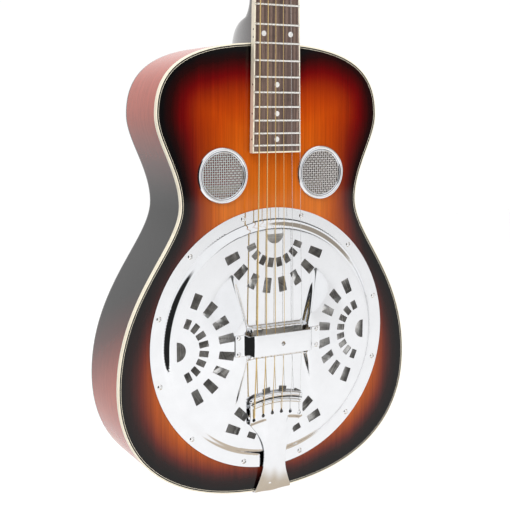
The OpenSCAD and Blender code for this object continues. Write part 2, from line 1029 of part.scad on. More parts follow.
module side_dot(z, grow = 0) {
  translate([-board_half(z) - 1, front(board_height) + 2.2, z])
    rotate([0, 90, 0])
      cylinder(r = 1 + grow, h = 1.9);
}

module frets() {
  color("silver")
    for (n = [1 : fret_count]) {
      half = board_half(fret_z(n)) - 0.4;
      tang_half = board_half(fret_z(n)) - bind_w;
      translate([-half, front(board_height), fret_z(n)])
        rotate([90, 0, 90])
          linear_extrude(2 * half)
            polygon([for (i = [0 : 8]) [-fret_h * sin(i * 22.5), 1.2 * cos(i * 22.5)]]);
      translate([-tang_half, front(board_height) - 0.01, fret_z(n) - fret_tang_w / 2])
        cube([2 * tang_half, fret_tang_h, fret_tang_w]);
    }
}

module position_dots() {
  color("white")
    for (p = dot_places())
      rod_y(dot_r, front(board_height), front(board_height) + 1.5, p[0], p[1]);
}

module side_dots() {
  color("black")
    intersection() {
      for (z = side_dot_places())
        side_dot(z);
      slab(front(board_height), board_thick)
        board_area(0);
    }
}

/* ---------- Nut and headstock ---------- */

// Centre height of a string in its nut slot, clear of the first fret.
function nut_string_h(k) = board_height + fret_h + 0.3 + string_r(k);
nut_top_h = board_height + 2.4;

module nut() {
  color("ivory")
    difference() {
      translate([-nut_width / 2, front(nut_top_h), 0])
        cube([nut_width, board_under_y - front(nut_top_h), nut_thick]);
      for (k = [1 : 6])
        translate([nut_x(k), 0, -1]) {
          translate([0, front(nut_string_h(k)), 0])
            cylinder(r = string_r(k) + gap, h = nut_thick + 2);
          translate([-string_r(k) - gap, front(nut_string_h(k) + 3), 0])
            cube([2 * (string_r(k) + gap), 3, nut_thick + 2]);
        }
    }
}

plate_screw_s = [34, 66, 102, 138];
cover_screw_s = [11, 38];

module headstock_veneer() {
  color("black")
    on_head()
      difference() {
        slab(0, veneer)
          head_outline();
        slab(-1, veneer + 2)
          head_slots();
        for (s = cover_screw_s)
          rod_y(1 + gap, -1, veneer + 1, 0, s);
        // Room for the nut's back face.
        rotate([head_tilt, 0, 0])
          translate([-40, -10, -20])
            cube([80, 30, 20]);
      }
}

module truss_rod_cover() {
  color("white")
    on_head()
      difference() {
        slab(-1.6, 1.6)
          polygon([[-9, 7], [9, 7], [5.6, 26], [4.4, 38], [0, 43], [-4.4, 38], [-5.6, 26]]);
        for (s = cover_screw_s)
          rod_y(1 + gap, -3, 1, 0, s);
      }
}

module headstock_screws() {
  color("silver")
    on_head() {
      for (s = cover_screw_s)
        round_screw(1.8, 1, -1.6, 6, 0, s);
      for (side = [-1, 1])
        for (s = plate_screw_s)
          translate([side * (head_half + plate_thick), post_y, s])
            rotate([0, -side * 90, 0]) {
              cylinder(r = 1.2, h = 7);
              translate([0, 0, -1.2])
                cylinder(r = 2, h = 1.2);
            }
    }
}

/* ---------- Tuning machines ---------- */

plate_thick = 1.2;
plate_low = 29;
plate_high = 143;
plate_y0 = 2.6;
plate_w = 13;
gear_x = head_half + plate_thick + 0.5;
gear_w = 4.2;
gear_r = 6.2;
gear_teeth = 14;
worm_r = 2.3;
worm_x = gear_x + gear_w / 2;
worm_offset = gear_r + worm_r + 0.3;
key_r = 1.6;
lug_y = [plate_y0, plate_y0 + plate_w - 1.6];
button_y = 22;

module tuner_plate(side) {
  color("silver")
    on_head()
      mirror([side < 0 ? 1 : 0, 0, 0])
        difference() {
          union() {
            translate([head_half, plate_y0, plate_low])
              cube([plate_thick, plate_w, plate_high - plate_low]);
            for (s = post_s)
              for (y = lug_y)
                translate([head_half + plate_thick, y, s + worm_offset - 3.6])
                  cube([worm_x - head_half - plate_thick + 3, 1.6, 7.2]);
          }
          for (s = post_s) {
            translate([head_half - 1, post_y, s])
              rotate([0, 90, 0])
                cylinder(r = post_r + gap, h = plate_thick + 2);
            rod_y(key_r + gap, plate_y0 - 1, plate_y0 + plate_w + 1, worm_x, s + worm_offset);
          }
          for (s = plate_screw_s)
            translate([head_half - 1, post_y, s])
              rotate([0, 90, 0])
                cylinder(r = 1.2 + gap, h = plate_thick + 2);
        }
}

module bass_tuner_plate() { tuner_plate(-1); }
module treble_tuner_plate() { tuner_plate(1); }

// A key: the worm between the lugs, its shaft and a flat button behind the headstock.
module tuner_key(k) {
  worm_y0 = lug_y[0] + 1.6 + 0.3;
  worm_y1 = lug_y[1] - 0.3;
  ring_count = 5;
  pitch = (worm_y1 - worm_y0) / ring_count;
  color("silver")
    on_head()
      translate([tuner_side(k) * worm_x, 0, tuner_s(k) + worm_offset]) {
        rod_y(key_r, lug_y[0] - 0.6, button_y + 4);
        for (i = [0 : ring_count - 1])
          rod_y(worm_r, worm_y0 + (i + 0.3) * pitch, worm_y0 + (i + 0.7) * pitch);
        rod_y(3, lug_y[1] + 1.6 + 0.3, lug_y[1] + 4);
        translate([-3, 0, 0])
          rotate([90, 0, 90])
            linear_extrude(6)
              polygon([
                for (i = [0 : 35])
                  [button_y + 8.5 + 7.5 * cos(i * 10), 10.5 * sin(i * 10)]
              ]);
      }
}

module tuner_key_1() { tuner_key(1); }
module tuner_key_2() { tuner_key(2); }
module tuner_key_3() { tuner_key(3); }
module tuner_key_4() { tuner_key(4); }
module tuner_key_5() { tuner_key(5); }
module tuner_key_6() { tuner_key(6); }

// A post: the shaft across the slot, the string's turns round it, the gear and its screw.
wrap_r = 3.9;
wrap_turns = 5;
function wrap_x(k) = [0, 17, 14, 11, 11, 14, 17][k];

module string_post(k) {
  wire = string_r(k);
  color("silver")
    on_head()
      translate([0, post_y, tuner_s(k)])
        rotate([0, tuner_side(k) * 90, 0]) {
          translate([0, 0, post_in + 0.2])
            cylinder(r = post_r, h = gear_x + gear_w - post_in - 0.2);
          translate([0, 0, gear_x])
            gear_wheel();
          translate([0, 0, gear_x + gear_w - 0.1])
            cylinder(r = 2.4, h = 1.3);
          for (i = [0 : wrap_turns - 1])
            translate([0, 0, wrap_x(k) - wire + (i - wrap_turns + 1) * 2 * wire * 0.98])
              cylinder(r = wrap_r - (i % 2) * 0.15, h = 2 * wire);
        }
}

module gear_wheel() {
  tooth = 360 / gear_teeth;
  linear_extrude(gear_w)
    polygon([
      for (i = [0 : gear_teeth - 1])
        for (c = [[gear_r - 1.4, -0.32], [gear_r, -0.16], [gear_r, 0.16], [gear_r - 1.4, 0.32]])
          c[0] * [cos((i + c[1]) * tooth), sin((i + c[1]) * tooth)]
    ]);
}

module string_post_1() { string_post(1); }
module string_post_2() { string_post(2); }
module string_post_3() { string_post(3); }
module string_post_4() { string_post(4); }
module string_post_5() { string_post(5); }
module string_post_6() { string_post(6); }

/* ---------- Strings ---------- */

// String 1 is the thinnest and lies on the treble side.
string_gauges = [0.4, 0.45, 0.6, 0.8, 1.05, 1.35];
function string_r(k) = string_gauges[k - 1] / 2;
function nut_x(k) = (3.5 - k) * nut_spacing;
function saddle_x(k) = (3.5 - k) * saddle_spacing;
function tail_x(k) = (3.5 - k) * 11.5;
function head_point(x, y, s) = [
  x,
  front(board_height) + head_face_drop + y * cos(head_tilt) + s * sin(head_tilt),
  nut_thick - y * sin(head_tilt) + s * cos(head_tilt)
];

// The route from the ball end, over the string bar, the saddle and the nut, to the post.
function string_route(k) = [
  [tail_x(k), front(9.2), ball_z],
  [tail_x(k), front(12.2 + string_r(k)), ball_z + 4],
  [tail_x(k), front(string_bar_h + string_bar_r + string_r(k) + 0.1), string_bar_z - 1],
  [saddle_x(k), front(saddle_height), bridge_z],
  [nut_x(k), front(nut_string_h(k)), 0],
  [nut_x(k), front(nut_string_h(k)), nut_thick],
  head_point(tuner_side(k) * wrap_x(k), post_y - wrap_r - string_r(k) - 0.12, tuner_s(k))
];

string_sides = 8;

// A tube swept along the route: each ring lies in the plane that halves the bend.
function ring_at(p, dir, r) =
  let (
    side = unit(cross(dir, [0, 1, 0])),
    up = cross(side, dir)
  )
  [for (j = [0 : string_sides - 1])
    p + r * cos(j * 360 / string_sides) * side + r * sin(j * 360 / string_sides) * up];

function route_dir(path, i) =
  i == 0 ? unit(path[1] - path[0])
  : i == len(path) - 1 ? unit(path[i] - path[i - 1])
  : unit(unit(path[i + 1] - path[i]) + unit(path[i] - path[i - 1]));

module tube(path, r) {
  n = len(path);
  points = [for (i = [0 : n - 1]) each ring_at(path[i], route_dir(path, i), r)];
  walls = [
    for (i = [0 : n - 2])
      for (j = [0 : string_sides - 1])
        let (a = i * string_sides + j, b = i * string_sides + (j + 1) % string_sides)
          [a, b, b + string_sides, a + string_sides]
  ];
  first = [for (j = [string_sides - 1 : -1 : 0]) j];
  end = [for (j = [0 : string_sides - 1]) (n - 1) * string_sides + j];
  polyhedron(points = points, faces = concat([first], walls, [end]));
}

module guitar_string(k) {
  color(k > 2 ? "goldenrod" : "silver")
    tube(string_route(k), string_r(k));
}

module string_1() { guitar_string(1); }
module string_2() { guitar_string(2); }
module string_3() { guitar_string(3); }
module string_4() { guitar_string(4); }
module string_5() { guitar_string(5); }
module string_6() { guitar_string(6); }

soundboard();
back_plate();
bass_side();
treble_side();
top_binding();
back_binding();
linings();
neck_block();
tail_block();
soundwell();
braces();
cone();
spider();
saddle();
tension_screw();
coverplate();
coverplate_screws();
palm_rest();
palm_rest_screws();
bass_screen_ring();
bass_screen_mesh();
treble_screen_ring();
treble_screen_mesh();
tailpiece();
tailpiece_felt();
tail_screws();
strap_button();
neck();
heel_cap();
neck_bolts();
fretboard();
fretboard_binding();
frets();
position_dots();
side_dots();
nut();
headstock_veneer();
truss_rod();
truss_rod_cover();
headstock_screws();
string_1();
string_2();
string_3();
string_4();
string_5();
string_6();
bass_tuner_plate();
treble_tuner_plate();
tuner_key_1();
tuner_key_2();
tuner_key_3();
tuner_key_4();
tuner_key_5();
tuner_key_6();
string_post_1();
string_post_2();
string_post_3();
string_post_4();
string_post_5();
string_post_6();
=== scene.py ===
"""Looks of the resonator guitar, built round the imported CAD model.

Lengths are millimetres in the model's own frame: x to the treble side, y into the body, z up the
neck. They are turned into metres when a mesh is made.
"""
import math

import bmesh
import bpy
import numpy as np
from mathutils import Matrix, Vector
from mathutils.geometry import delaunay_2d_cdt


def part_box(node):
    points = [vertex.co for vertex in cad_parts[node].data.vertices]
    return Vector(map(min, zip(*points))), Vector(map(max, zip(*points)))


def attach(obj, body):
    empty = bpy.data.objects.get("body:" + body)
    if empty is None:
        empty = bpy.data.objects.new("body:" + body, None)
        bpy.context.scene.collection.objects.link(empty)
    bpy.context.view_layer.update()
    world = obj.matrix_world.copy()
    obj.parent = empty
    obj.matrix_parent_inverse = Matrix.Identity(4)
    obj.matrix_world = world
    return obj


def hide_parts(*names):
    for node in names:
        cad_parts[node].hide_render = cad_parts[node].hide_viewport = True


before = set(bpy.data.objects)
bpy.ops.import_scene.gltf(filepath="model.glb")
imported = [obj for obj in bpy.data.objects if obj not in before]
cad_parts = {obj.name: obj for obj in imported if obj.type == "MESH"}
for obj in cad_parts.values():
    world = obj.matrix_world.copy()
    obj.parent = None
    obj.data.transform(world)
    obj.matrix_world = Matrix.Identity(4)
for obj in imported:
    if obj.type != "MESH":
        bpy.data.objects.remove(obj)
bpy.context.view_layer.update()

MM = 0.001
BODY = "guitar"

# ---------------------------------------------------------------- places taken from the frame


def cad_box(node):
    """A CAD node's lowest and highest corners in millimetres."""
    low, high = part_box(node)
    return Vector(low) / MM, Vector(high) / MM


COVER_LOW, COVER_HIGH = cad_box("coverplate")
TOP_LOW, TOP_HIGH = cad_box("soundboard")
BACK_LOW, BACK_HIGH = cad_box("back_plate")
BIND_LOW, BIND_HIGH = cad_box("top_binding")
EDGE_LOW, EDGE_HIGH = cad_box("back_binding")
REST_LOW, REST_HIGH = cad_box("palm_rest")
RING_LOW, RING_HIGH = cad_box("treble_screen_ring")
BUTTON_LOW, BUTTON_HIGH = cad_box("strap_button")

FACE_Y = TOP_LOW.y
BRIDGE_Z = (COVER_LOW.z + COVER_HIGH.z) / 2
COVER_R = (COVER_HIGH.x - COVER_LOW.x) / 2
SCREEN_X = (RING_LOW.x + RING_HIGH.x) / 2
SCREEN_Z = (RING_LOW.z + RING_HIGH.z) / 2
SCREEN_R = (RING_HIGH.x - RING_LOW.x) / 2
STRAP_Y = (BUTTON_LOW.y + BUTTON_HIGH.y) / 2
TAIL_BACK_Y = cad_box("tailpiece")[1].y


def front(height):
    """The y of a plane that lies this far in front of the soundboard."""
    return FACE_Y - height


# ---------------------------------------------------------------- camera

CAMERA_AIM = Vector((-21.5, FACE_Y, BRIDGE_Z + 94.7))
CAMERA_DISTANCE = 1015.2
CAMERA_AZIMUTH = math.radians(28.68)
CAMERA_PITCH = math.radians(8.60)
CAMERA_LENS = 66.68


def make_camera():
    """The camera that stands where the photo's did, as the fit found it."""
    forward = Vector((
        math.sin(CAMERA_AZIMUTH) * math.cos(CAMERA_PITCH),
        math.cos(CAMERA_AZIMUTH) * math.cos(CAMERA_PITCH),
        -math.sin(CAMERA_PITCH),
    ))
    data = bpy.data.cameras.new("camera")
    data.lens = CAMERA_LENS
    data.sensor_width = 36
    data.clip_end = 100
    camera = bpy.data.objects.new("camera", data)
    camera.location = (CAMERA_AIM - CAMERA_DISTANCE * forward) * MM
    camera.rotation_euler = forward.to_track_quat("-Z", "Y").to_euler()
    bpy.context.scene.collection.objects.link(camera)
    bpy.context.scene.camera = camera


make_camera()

# ---------------------------------------------------------------- material helpers


class Tree:
    """A short way to write a node tree."""

    def __init__(self, tree):
        self.tree = tree

    def link(self, source, target):
        self.tree.links.new(source, target)

    def feed(self, socket, value):
        """Gives a socket a number, a colour, a vector or another node's output."""
        if isinstance(value, (int, float)):
            socket.default_value = value
        elif isinstance(value, tuple):
            socket.default_value = (*value, 1)[:len(socket.default_value)]
        else:
            self.link(value, socket)

    def add(self, kind, *values, **settings):
        """A node with its settings, and with its first sockets fed with the values."""
        node = self.tree.nodes.new(kind)
        for key, value in settings.items():
            setattr(node, key, value)
        for socket, value in zip(node.inputs, values):
            self.feed(socket, value)
        return node

    def math(self, operation, a, b=0.0):
        return self.add("ShaderNodeMath", a, b, operation=operation).outputs[0]

    def weigh(self, *pairs):
        """The sum of (value, weight) pairs."""
        total = 0.0
        for value, weight in pairs:
            total = self.math("ADD", total, self.math("MULTIPLY", value, weight))
        return total

    def remap(self, value, low, high, to_low=0.0, to_high=1.0, way="LINEAR"):
        """Turns the range low to high into another one."""
        return self.add("ShaderNodeMapRange", value, low, high, to_low, to_high,
                        interpolation_type=way).outputs["Result"]

    def mix(self, factor, a, b, blend="MIX"):
        """Blends two colours: a where the factor is 0, b where it is 1."""
        node = self.add("ShaderNodeMix", factor, data_type="RGBA", blend_type=blend)
        self.feed(node.inputs[6], a)
        self.feed(node.inputs[7], b)
        return node.outputs[2]


class Nodes(Tree):
    """A material's node tree round its Principled shader."""

    def __init__(self, name):
        self.material = bpy.data.materials.new(name)
        self.material.use_nodes = True
        super().__init__(self.material.node_tree)
        self.shader = self.tree.nodes["Principled BSDF"]

    def set(self, **values):
        """Feeds the shader's sockets, named with _ for a space."""
        for key, value in values.items():
            self.feed(self.shader.inputs[key.replace("_", " ")], value)

    def position(self, scale=(1, 1, 1)):
        """Object coordinates in millimetres, stretched."""
        where = self.add("ShaderNodeTexCoord").outputs["Object"]
        mapping = self.add("ShaderNodeMapping", where)
        mapping.inputs["Scale"].default_value = [s / MM for s in scale]
        return mapping.outputs["Vector"]

    def axes(self):
        """The x, y and z coordinates in millimetres."""
        return self.add("ShaderNodeSeparateXYZ", self.position()).outputs

    def noise(self, scale, size=1.0, detail=4.0, rough=0.55):
        node = self.add("ShaderNodeTexNoise", self.position(scale))
        for key, value in (("Scale", size), ("Detail", detail), ("Roughness", rough)):
            node.inputs[key].default_value = value
        return node.outputs["Fac"]

    def attribute(self, name):
        """The number that set_attribute() gave each point."""
        return self.add("ShaderNodeAttribute", attribute_name=name).outputs["Fac"]

    def ramp(self, value, stops):
        """The colour at a value, between (place, colour) stops."""
        node = self.add("ShaderNodeValToRGB", value)
        elements = node.color_ramp.elements
        while len(elements) < len(stops):
            elements.new(0.5)
        for element, (place, colour) in zip(elements, stops):
            element.position = place
            element.color = (*colour, 1)
        return node.outputs["Color"]

    def darken(self, colour, tone):
        """A colour times a number, which counts as 1 at most."""
        grey = self.ramp(tone, [(0, (0, 0, 0)), (1, (1, 1, 1))])
        return self.mix(1.0, colour, grey, "MULTIPLY")

    def bump(self, height, distance):
        """Relief this many millimetres deep."""
        node = self.add("ShaderNodeBump")
        node.inputs["Distance"].default_value = distance * MM
        self.link(height, node.inputs["Height"])
        self.set(Normal=node.outputs["Normal"])


# ---------------------------------------------------------------- materials


def burst_wood_and_painted_haze():
    """Glossy sunburst with straight grain: black at the edge through red to amber. Below the waist
    the colours turn browner and greyer, a painted reflection haze of the floor on the lacquer.
    shades lists how far in, the upper colour and the lower colour with the painted haze."""
    n = Nodes("burst_wood_and_painted_haze")
    wander = n.noise((1, 1, 0.3), 0.02, 3)
    depth = n.math("ADD", n.attribute("edge"), n.remap(wander, 0.2, 0.8, -5, 5))
    shades = (
        (0.05, (0.003, 0.002, 0.0025), (0.003, 0.002, 0.0025)),
        (0.13, (0.020, 0.001, 0.001), (0.017, 0.004, 0.004)),
        (0.20, (0.068, 0.0005, 0.0008), (0.054, 0.009, 0.007)),
        (0.28, (0.150, 0.0005, 0.0008), (0.117, 0.014, 0.008)),
        (0.34, (0.225, 0.006, 0.001), (0.187, 0.025, 0.008)),
        (0.42, (0.310, 0.021, 0.001), (0.275, 0.042, 0.007)),
        (0.52, (0.415, 0.038, 0.001), (0.385, 0.064, 0.005)),
        (0.64, (0.505, 0.055, 0.001), (0.490, 0.092, 0.004)),
        (0.90, (0.620, 0.090, 0.002), (0.670, 0.160, 0.010)),
    )
    share = n.remap(depth, 0, 100)
    upper = n.ramp(share, [(at, colour) for at, colour, _ in shades])
    # lower: the same burst with painted reflection haze, greyer and browner
    lower = n.ramp(share, [(at, colour) for at, _, colour in shades])
    # painted reflection haze: the colour blends to the hazy ramp below the waist
    painted_haze_below_waist = n.remap(n.axes()["Z"], BRIDGE_Z + 150, BRIDGE_Z + 240, 1, 0)
    grain = n.noise((1, 1, 0.012), 1.1, 5, 0.65)
    lines = n.noise((1, 1, 0.004), 0.34, 3, 0.5)
    tone = n.math("MULTIPLY", n.remap(grain, 0.3, 0.7, 0.74, 1.06),
                  n.remap(lines, 0.35, 0.65, 0.86, 1.05))
    n.set(Base_Color=n.darken(n.mix(painted_haze_below_waist, upper, lower), tone), IOR=1.34,
          Roughness=n.remap(n.noise((1, 1, 1), 0.02, 3), 0, 1, 0.045, 0.085))
    n.bump(grain, 0.008)
    return n.material


def side_wood(name, grain_way, pore_way):
    """Red-brown lacquered mahogany that the burst darkens at the waist and along the edges."""
    n = Nodes(name)
    colour = n.ramp(n.attribute("edge"), [
        (0.0, (0.006, 0.005, 0.005)),
        (0.3, (0.085, 0.013, 0.010)),
        (0.6, (0.25, 0.045, 0.028)),
        (1.0, (0.52, 0.100, 0.062)),
    ])
    grain = n.noise(grain_way, 0.9, 5, 0.65)
    pores = n.noise(pore_way, 1.0, 3, 0.6)
    tone = n.math("MULTIPLY", n.remap(grain, 0.3, 0.7, 0.75, 1.1),
                  n.remap(pores, 0.4, 0.7, 1.02, 0.8))
    n.set(Base_Color=n.darken(colour, tone), Roughness=n.remap(grain, 0, 1, 0.16, 0.26), IOR=1.42)
    n.bump(pores, 0.008)
    return n.material


def mottled(name, noise, stops, rough, depth=0.0, **finish):
    """A surface whose colour, roughness and relief follow one noise. rough is one number, or
    four for remap, and finish holds the shader's constants."""
    n = Nodes(name)
    cloud = n.noise(*noise)
    if isinstance(rough, tuple):
        rough = n.remap(cloud, *rough)
    n.set(Base_Color=n.ramp(cloud, stops), Roughness=rough, **finish)
    if depth:
        n.bump(cloud, depth)
    return n.material


def neck_wood():
    """Black-brown lacquered neck."""
    return mottled("neck_wood", ((1, 1, 0.02), 0.8, 5, 0.6),
                   [(0.2, (0.010, 0.006, 0.005)), (0.8, (0.030, 0.012, 0.009))],
                   (0, 1, 0.16, 0.26), 0.008, Coat_Weight=0.6, Coat_Roughness=0.10)


def bare_wood(name, dark, light, stretch):
    """Unfinished wood with fine grain on broad rings."""
    n = Nodes(name)
    grain = n.noise(stretch, 0.9, 5, 0.6)
    rings = n.noise([s * 0.25 for s in stretch], 0.9, 2)
    n.set(Base_Color=n.ramp(n.weigh((grain, 0.6), (rings, 0.4)), [(0.3, dark), (0.7, light)]),
          Roughness=n.remap(grain, 0, 1, 0.45, 0.7))
    n.bump(grain, 0.03)
    return n.material


def rosewood():
    """Brown board with long dark streaks and open pores."""
    n = Nodes("rosewood")
    streak = n.noise((1, 1, 0.012), 0.32, 4, 0.6)
    fine = n.noise((1, 1, 0.02), 1.6, 4, 0.7)
    base = n.ramp(n.weigh((streak, 0.7), (fine, 0.3)), [
        (0.34, (0.040, 0.021, 0.016)),
        (0.47, (0.105, 0.062, 0.048)),
        (0.56, (0.200, 0.128, 0.098)),
        (0.72, (0.34, 0.235, 0.180)),
    ])
    pits = n.remap(n.noise((1, 1, 0.09), 2.2, 2, 0.5), 0.60, 0.68)
    n.set(Base_Color=n.mix(pits, base, (0.022, 0.011, 0.008)),
          Roughness=n.remap(fine, 0, 1, 0.34, 0.5))
    n.bump(n.weigh((fine, 1.0), (pits, -0.6)), 0.03)
    return n.material


def plastic(name, colour, rough=0.22, vary=0.08):
    """Moulded plastic, bone or lacquer of one colour with a little unevenness."""
    n = Nodes(name)
    cloud = n.noise((1, 1, 1), 0.12, 3)
    low = tuple(c * (1 - vary) for c in colour)
    high = tuple(min(1.0, c * (1 + vary)) for c in colour)
    n.set(Base_Color=n.ramp(cloud, [(0.3, low), (0.7, high)]), Coat_Weight=0.2,
          Roughness=n.remap(cloud, 0, 1, rough * 0.8, rough * 1.3))
    n.bump(n.noise((1, 1, 1), 1.5, 2), 0.006)
    return n.material


def pearl():
    """Mother-of-pearl with clouds of green and pink."""
    return mottled("pearl", ((1, 1, 1), 0.5, 5, 0.7),
                   [(0.3, (0.55, 0.60, 0.60)), (0.5, (0.86, 0.86, 0.84)),
                    (0.7, (0.80, 0.70, 0.74))],
                   (0, 1, 0.1, 0.25), Coat_Weight=0.8, Sheen_Weight=0.2)


def metal(name, colour, rough, vary=0.02, stretch=(1, 1, 1), size=0.08, depth=0.0):
    """A metal whose roughness wanders, with optional fine brushing."""
    low = tuple(c * 0.96 for c in colour)
    return mottled(name, (stretch, size, 4), [(0.3, low), (0.7, colour)],
                   (0.3, 0.7, rough, rough + vary), depth, Metallic=1.0)


def spun_metal_and_painted_highlights():
    """Spun aluminium: tool rings round the cone's axis, with painted highlight streaks across them
    and a brighter middle in the base colour, and a faint painted glow.
    """
    n = Nodes("spun_metal_and_painted_highlights")
    x, _, height = n.axes()
    z = n.math("SUBTRACT", height, BRIDGE_Z)
    radius = n.math("SQRT", n.math("ADD", n.math("MULTIPLY", x, x), n.math("MULTIPLY", z, z)))
    rings = n.add("ShaderNodeTexNoise", noise_dimensions="1D")
    rings.inputs["Scale"].default_value = 0.7
    rings.inputs["Detail"].default_value = 5
    n.link(radius, rings.inputs["W"])
    # painted highlights: light streaks laid into the base colour by angle round the cone's axis
    polar = n.add("ShaderNodeCombineXYZ", n.math("MULTIPLY", n.math("ARCTAN2", z, x), 4.2),
                  n.math("MULTIPLY", radius, 0.022))
    painted_highlight_streaks = n.add("ShaderNodeTexNoise", polar.outputs[0])
    painted_highlight_streaks.inputs["Scale"].default_value = 1.5
    painted_highlight_streaks.inputs["Detail"].default_value = 3
    # base colour brightness: painted highlight streaks and a brighter middle, with the real tool
    # rings
    rings_and_painted_highlights = n.weigh((n.remap(radius, 22, 50, 0.35, 0.0), 1.0), (painted_highlight_streaks.outputs["Fac"], 0.75),
                   (rings.outputs["Fac"], 0.25))
    # the emission below is a faint painted glow, not a lamp
    n.set(Base_Color=n.ramp(rings_and_painted_highlights, [(0.38, (0.20, 0.19, 0.18)), (0.50, (0.60, 0.59, 0.57)),
                                   (0.62, (1.0, 0.99, 0.97))]),
          Roughness=n.remap(rings.outputs["Fac"], 0.2, 0.8, 0.30, 0.50), Metallic=1.0,
          Emission_Strength=0.04, Emission_Color=(1.0, 0.96, 0.92))
    n.bump(rings.outputs["Fac"], 0.05)
    return n.material


def wound_string():
    """Bronze wire wound round a core: ridges along the string."""
    n = Nodes("wound_string")
    wave = n.add("ShaderNodeTexWave", n.position(), wave_type="BANDS", bands_direction="Z")
    wave.inputs["Scale"].default_value = 0.9
    n.set(Base_Color=n.ramp(wave.outputs["Fac"], [(0.0, (0.66, 0.43, 0.15)),
                                                  (1.0, (0.98, 0.77, 0.38))]),
          Metallic=1.0, Roughness=0.3)
    n.bump(wave.outputs["Fac"], 0.06)
    return n.material


def felt():
    """Black felt with a rough, faintly shiny nap."""
    return mottled("felt", ((1, 1, 1), 2.0, 6, 0.8),
                   [(0.3, (0.008, 0.008, 0.008)), (0.7, (0.03, 0.03, 0.03))], 0.95, 0.25,
                   Sheen_Weight=0.5)


# soundboard burst, with painted reflection haze below the waist
BURST = burst_wood_and_painted_haze()
SIDE = side_wood("side_wood", (0.03, 1, 0.03), (0.10, 3.2, 0.10))
BACK = side_wood("back_wood", (1, 1, 0.025), (3.0, 1, 0.08))
NECK = neck_wood()
SPRUCE = bare_wood("pale_wood", (0.42, 0.27, 0.14), (0.66, 0.47, 0.28), (1, 1, 0.03))
MAPLE = bare_wood("saddle_maple", (0.50, 0.34, 0.19), (0.70, 0.53, 0.33), (0.05, 1, 1))
ROSEWOOD = rosewood()
CREAM = plastic("cream_binding", (0.90, 0.83, 0.66), 0.2, 0.04)
BONE = plastic("bone", (0.78, 0.74, 0.62), 0.3, 0.06)
BLACK = plastic("black_plastic", (0.008, 0.008, 0.008), 0.12, 0.2)
BLACK_LINE = plastic("black_purfling", (0.012, 0.010, 0.010), 0.2, 0.2)
PEARL = pearl()
CHROME = metal("chrome", (0.74, 0.75, 0.77), 0.05, 0.03)
SCREW_CHROME = metal("screw_chrome", (0.80, 0.80, 0.80), 0.12, 0.06)
NICKEL = metal("fret_nickel", (0.80, 0.79, 0.76), 0.2, 0.1, (0.1, 1, 1), 1.0)
WIRE = metal("mesh_wire", (0.66, 0.63, 0.61), 0.30, 0.1)
CAST = metal("cast_aluminium", (0.86, 0.86, 0.85), 0.3, 0.15, (1, 1, 1), 0.6, 0.05)
STEEL = metal("dark_steel", (0.25, 0.25, 0.26), 0.4, 0.1)
PLAIN_STRING = metal("plain_string", (0.80, 0.80, 0.80), 0.18, 0.05, (1, 1, 0.1), 1.0)
# cone: spun metal with painted highlights and a painted glow
SPUN = spun_metal_and_painted_highlights()
WOUND = wound_string()
FELT = felt()

# ---------------------------------------------------------------- mesh helpers


def add_piece(name, points, faces, material, body=BODY, node=None, slot=None, smooth=40):
    """Makes a mesh piece from points in millimetres, rides it and hides the CAD nodes it replaces.
    """
    mesh = bpy.data.meshes.new(name)
    mesh.from_pydata([tuple(c * MM for c in p) for p in points], [], faces)
    mesh.validate()
    obj = bpy.data.objects.new(name, mesh)
    bpy.context.scene.collection.objects.link(obj)
    bm = bmesh.new()
    bm.from_mesh(mesh)
    bmesh.ops.recalc_face_normals(bm, faces=bm.faces)
    bm.to_mesh(mesh)
    bm.free()
    if smooth:
        mesh.shade_smooth()
        mesh.set_sharp_from_angle(angle=math.radians(smooth))
    mesh.materials.append(material)
    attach(obj, body)
    if node:
        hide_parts(*([node] if isinstance(node, str) else node))
    return obj


def ring_faces(rings, count, closed=False, wrap=True):
    """Quads between rings of count points each. closed joins the last ring to the first, and
    wrap joins each ring's last point to its first."""
    faces = []
    for i in range(rings if closed else rings - 1):
        j = (i + 1) % rings
        for k in range(count if wrap else count - 1):
            m = (k + 1) % count
            faces.append((i * count + k, i * count + m, j * count + m, j * count + k))
    return faces


def end_caps(rings, count):
    """One face across the first ring and one across the last."""
    return [tuple(range(count))[::-1], tuple((rings - 1) * count + k for k in range(count))]


def set_attribute(obj, name, values):
    """Gives each point of a mesh a number that its material reads."""
    layer = obj.data.attributes.new(name, "FLOAT", "POINT")
    layer.data.foreach_set("value", np.asarray(values, dtype=np.float32))


def bevel(obj, width, segments=2):
    """Rounds the edges that turn by 50 degrees or more."""
    modifier = obj.modifiers.new("bevel", "BEVEL")
    modifier.width = width * MM
    modifier.segments = segments
    modifier.limit_method = "ANGLE"
    modifier.angle_limit = math.radians(50)
    modifier.harden_normals = False


def bezier(p, t):
    """Points of a cubic Bezier curve at the parameters t."""
    p = np.asarray(p, float)
    t = np.asarray(t, float)[:, None]
    return ((1 - t) ** 3 * p[0] + 3 * (1 - t) ** 2 * t * p[1]
            + 3 * (1 - t) * t ** 2 * p[2] + t ** 3 * p[3])


def ease(t):
    """A smooth step from 0 to 1."""
    t = np.clip(t, 0, 1)
    return t * t * (3 - 2 * t)


def circle(x, z, r, count):
    """Points round a circle."""
    angles = np.arange(count) * 2 * math.pi / count
    return np.column_stack([x + r * np.cos(angles), z + r * np.sin(angles)])


def inside(points, loop):
    """Even-odd test of many points against one closed loop."""
    x, y = points[:, 0], points[:, 1]
    hit = np.zeros(len(points), bool)
    ax, ay = loop[:, 0], loop[:, 1]
    bx, by = np.roll(ax, -1), np.roll(ay, -1)
    for x0, y0, x1, y1 in zip(ax, ay, bx, by):
        if y0 == y1:
            continue
        crosses = (y0 > y) != (y1 > y)
        hit ^= crosses & (x < (x1 - x0) * (y - y0) / (y1 - y0) + x0)
    return hit


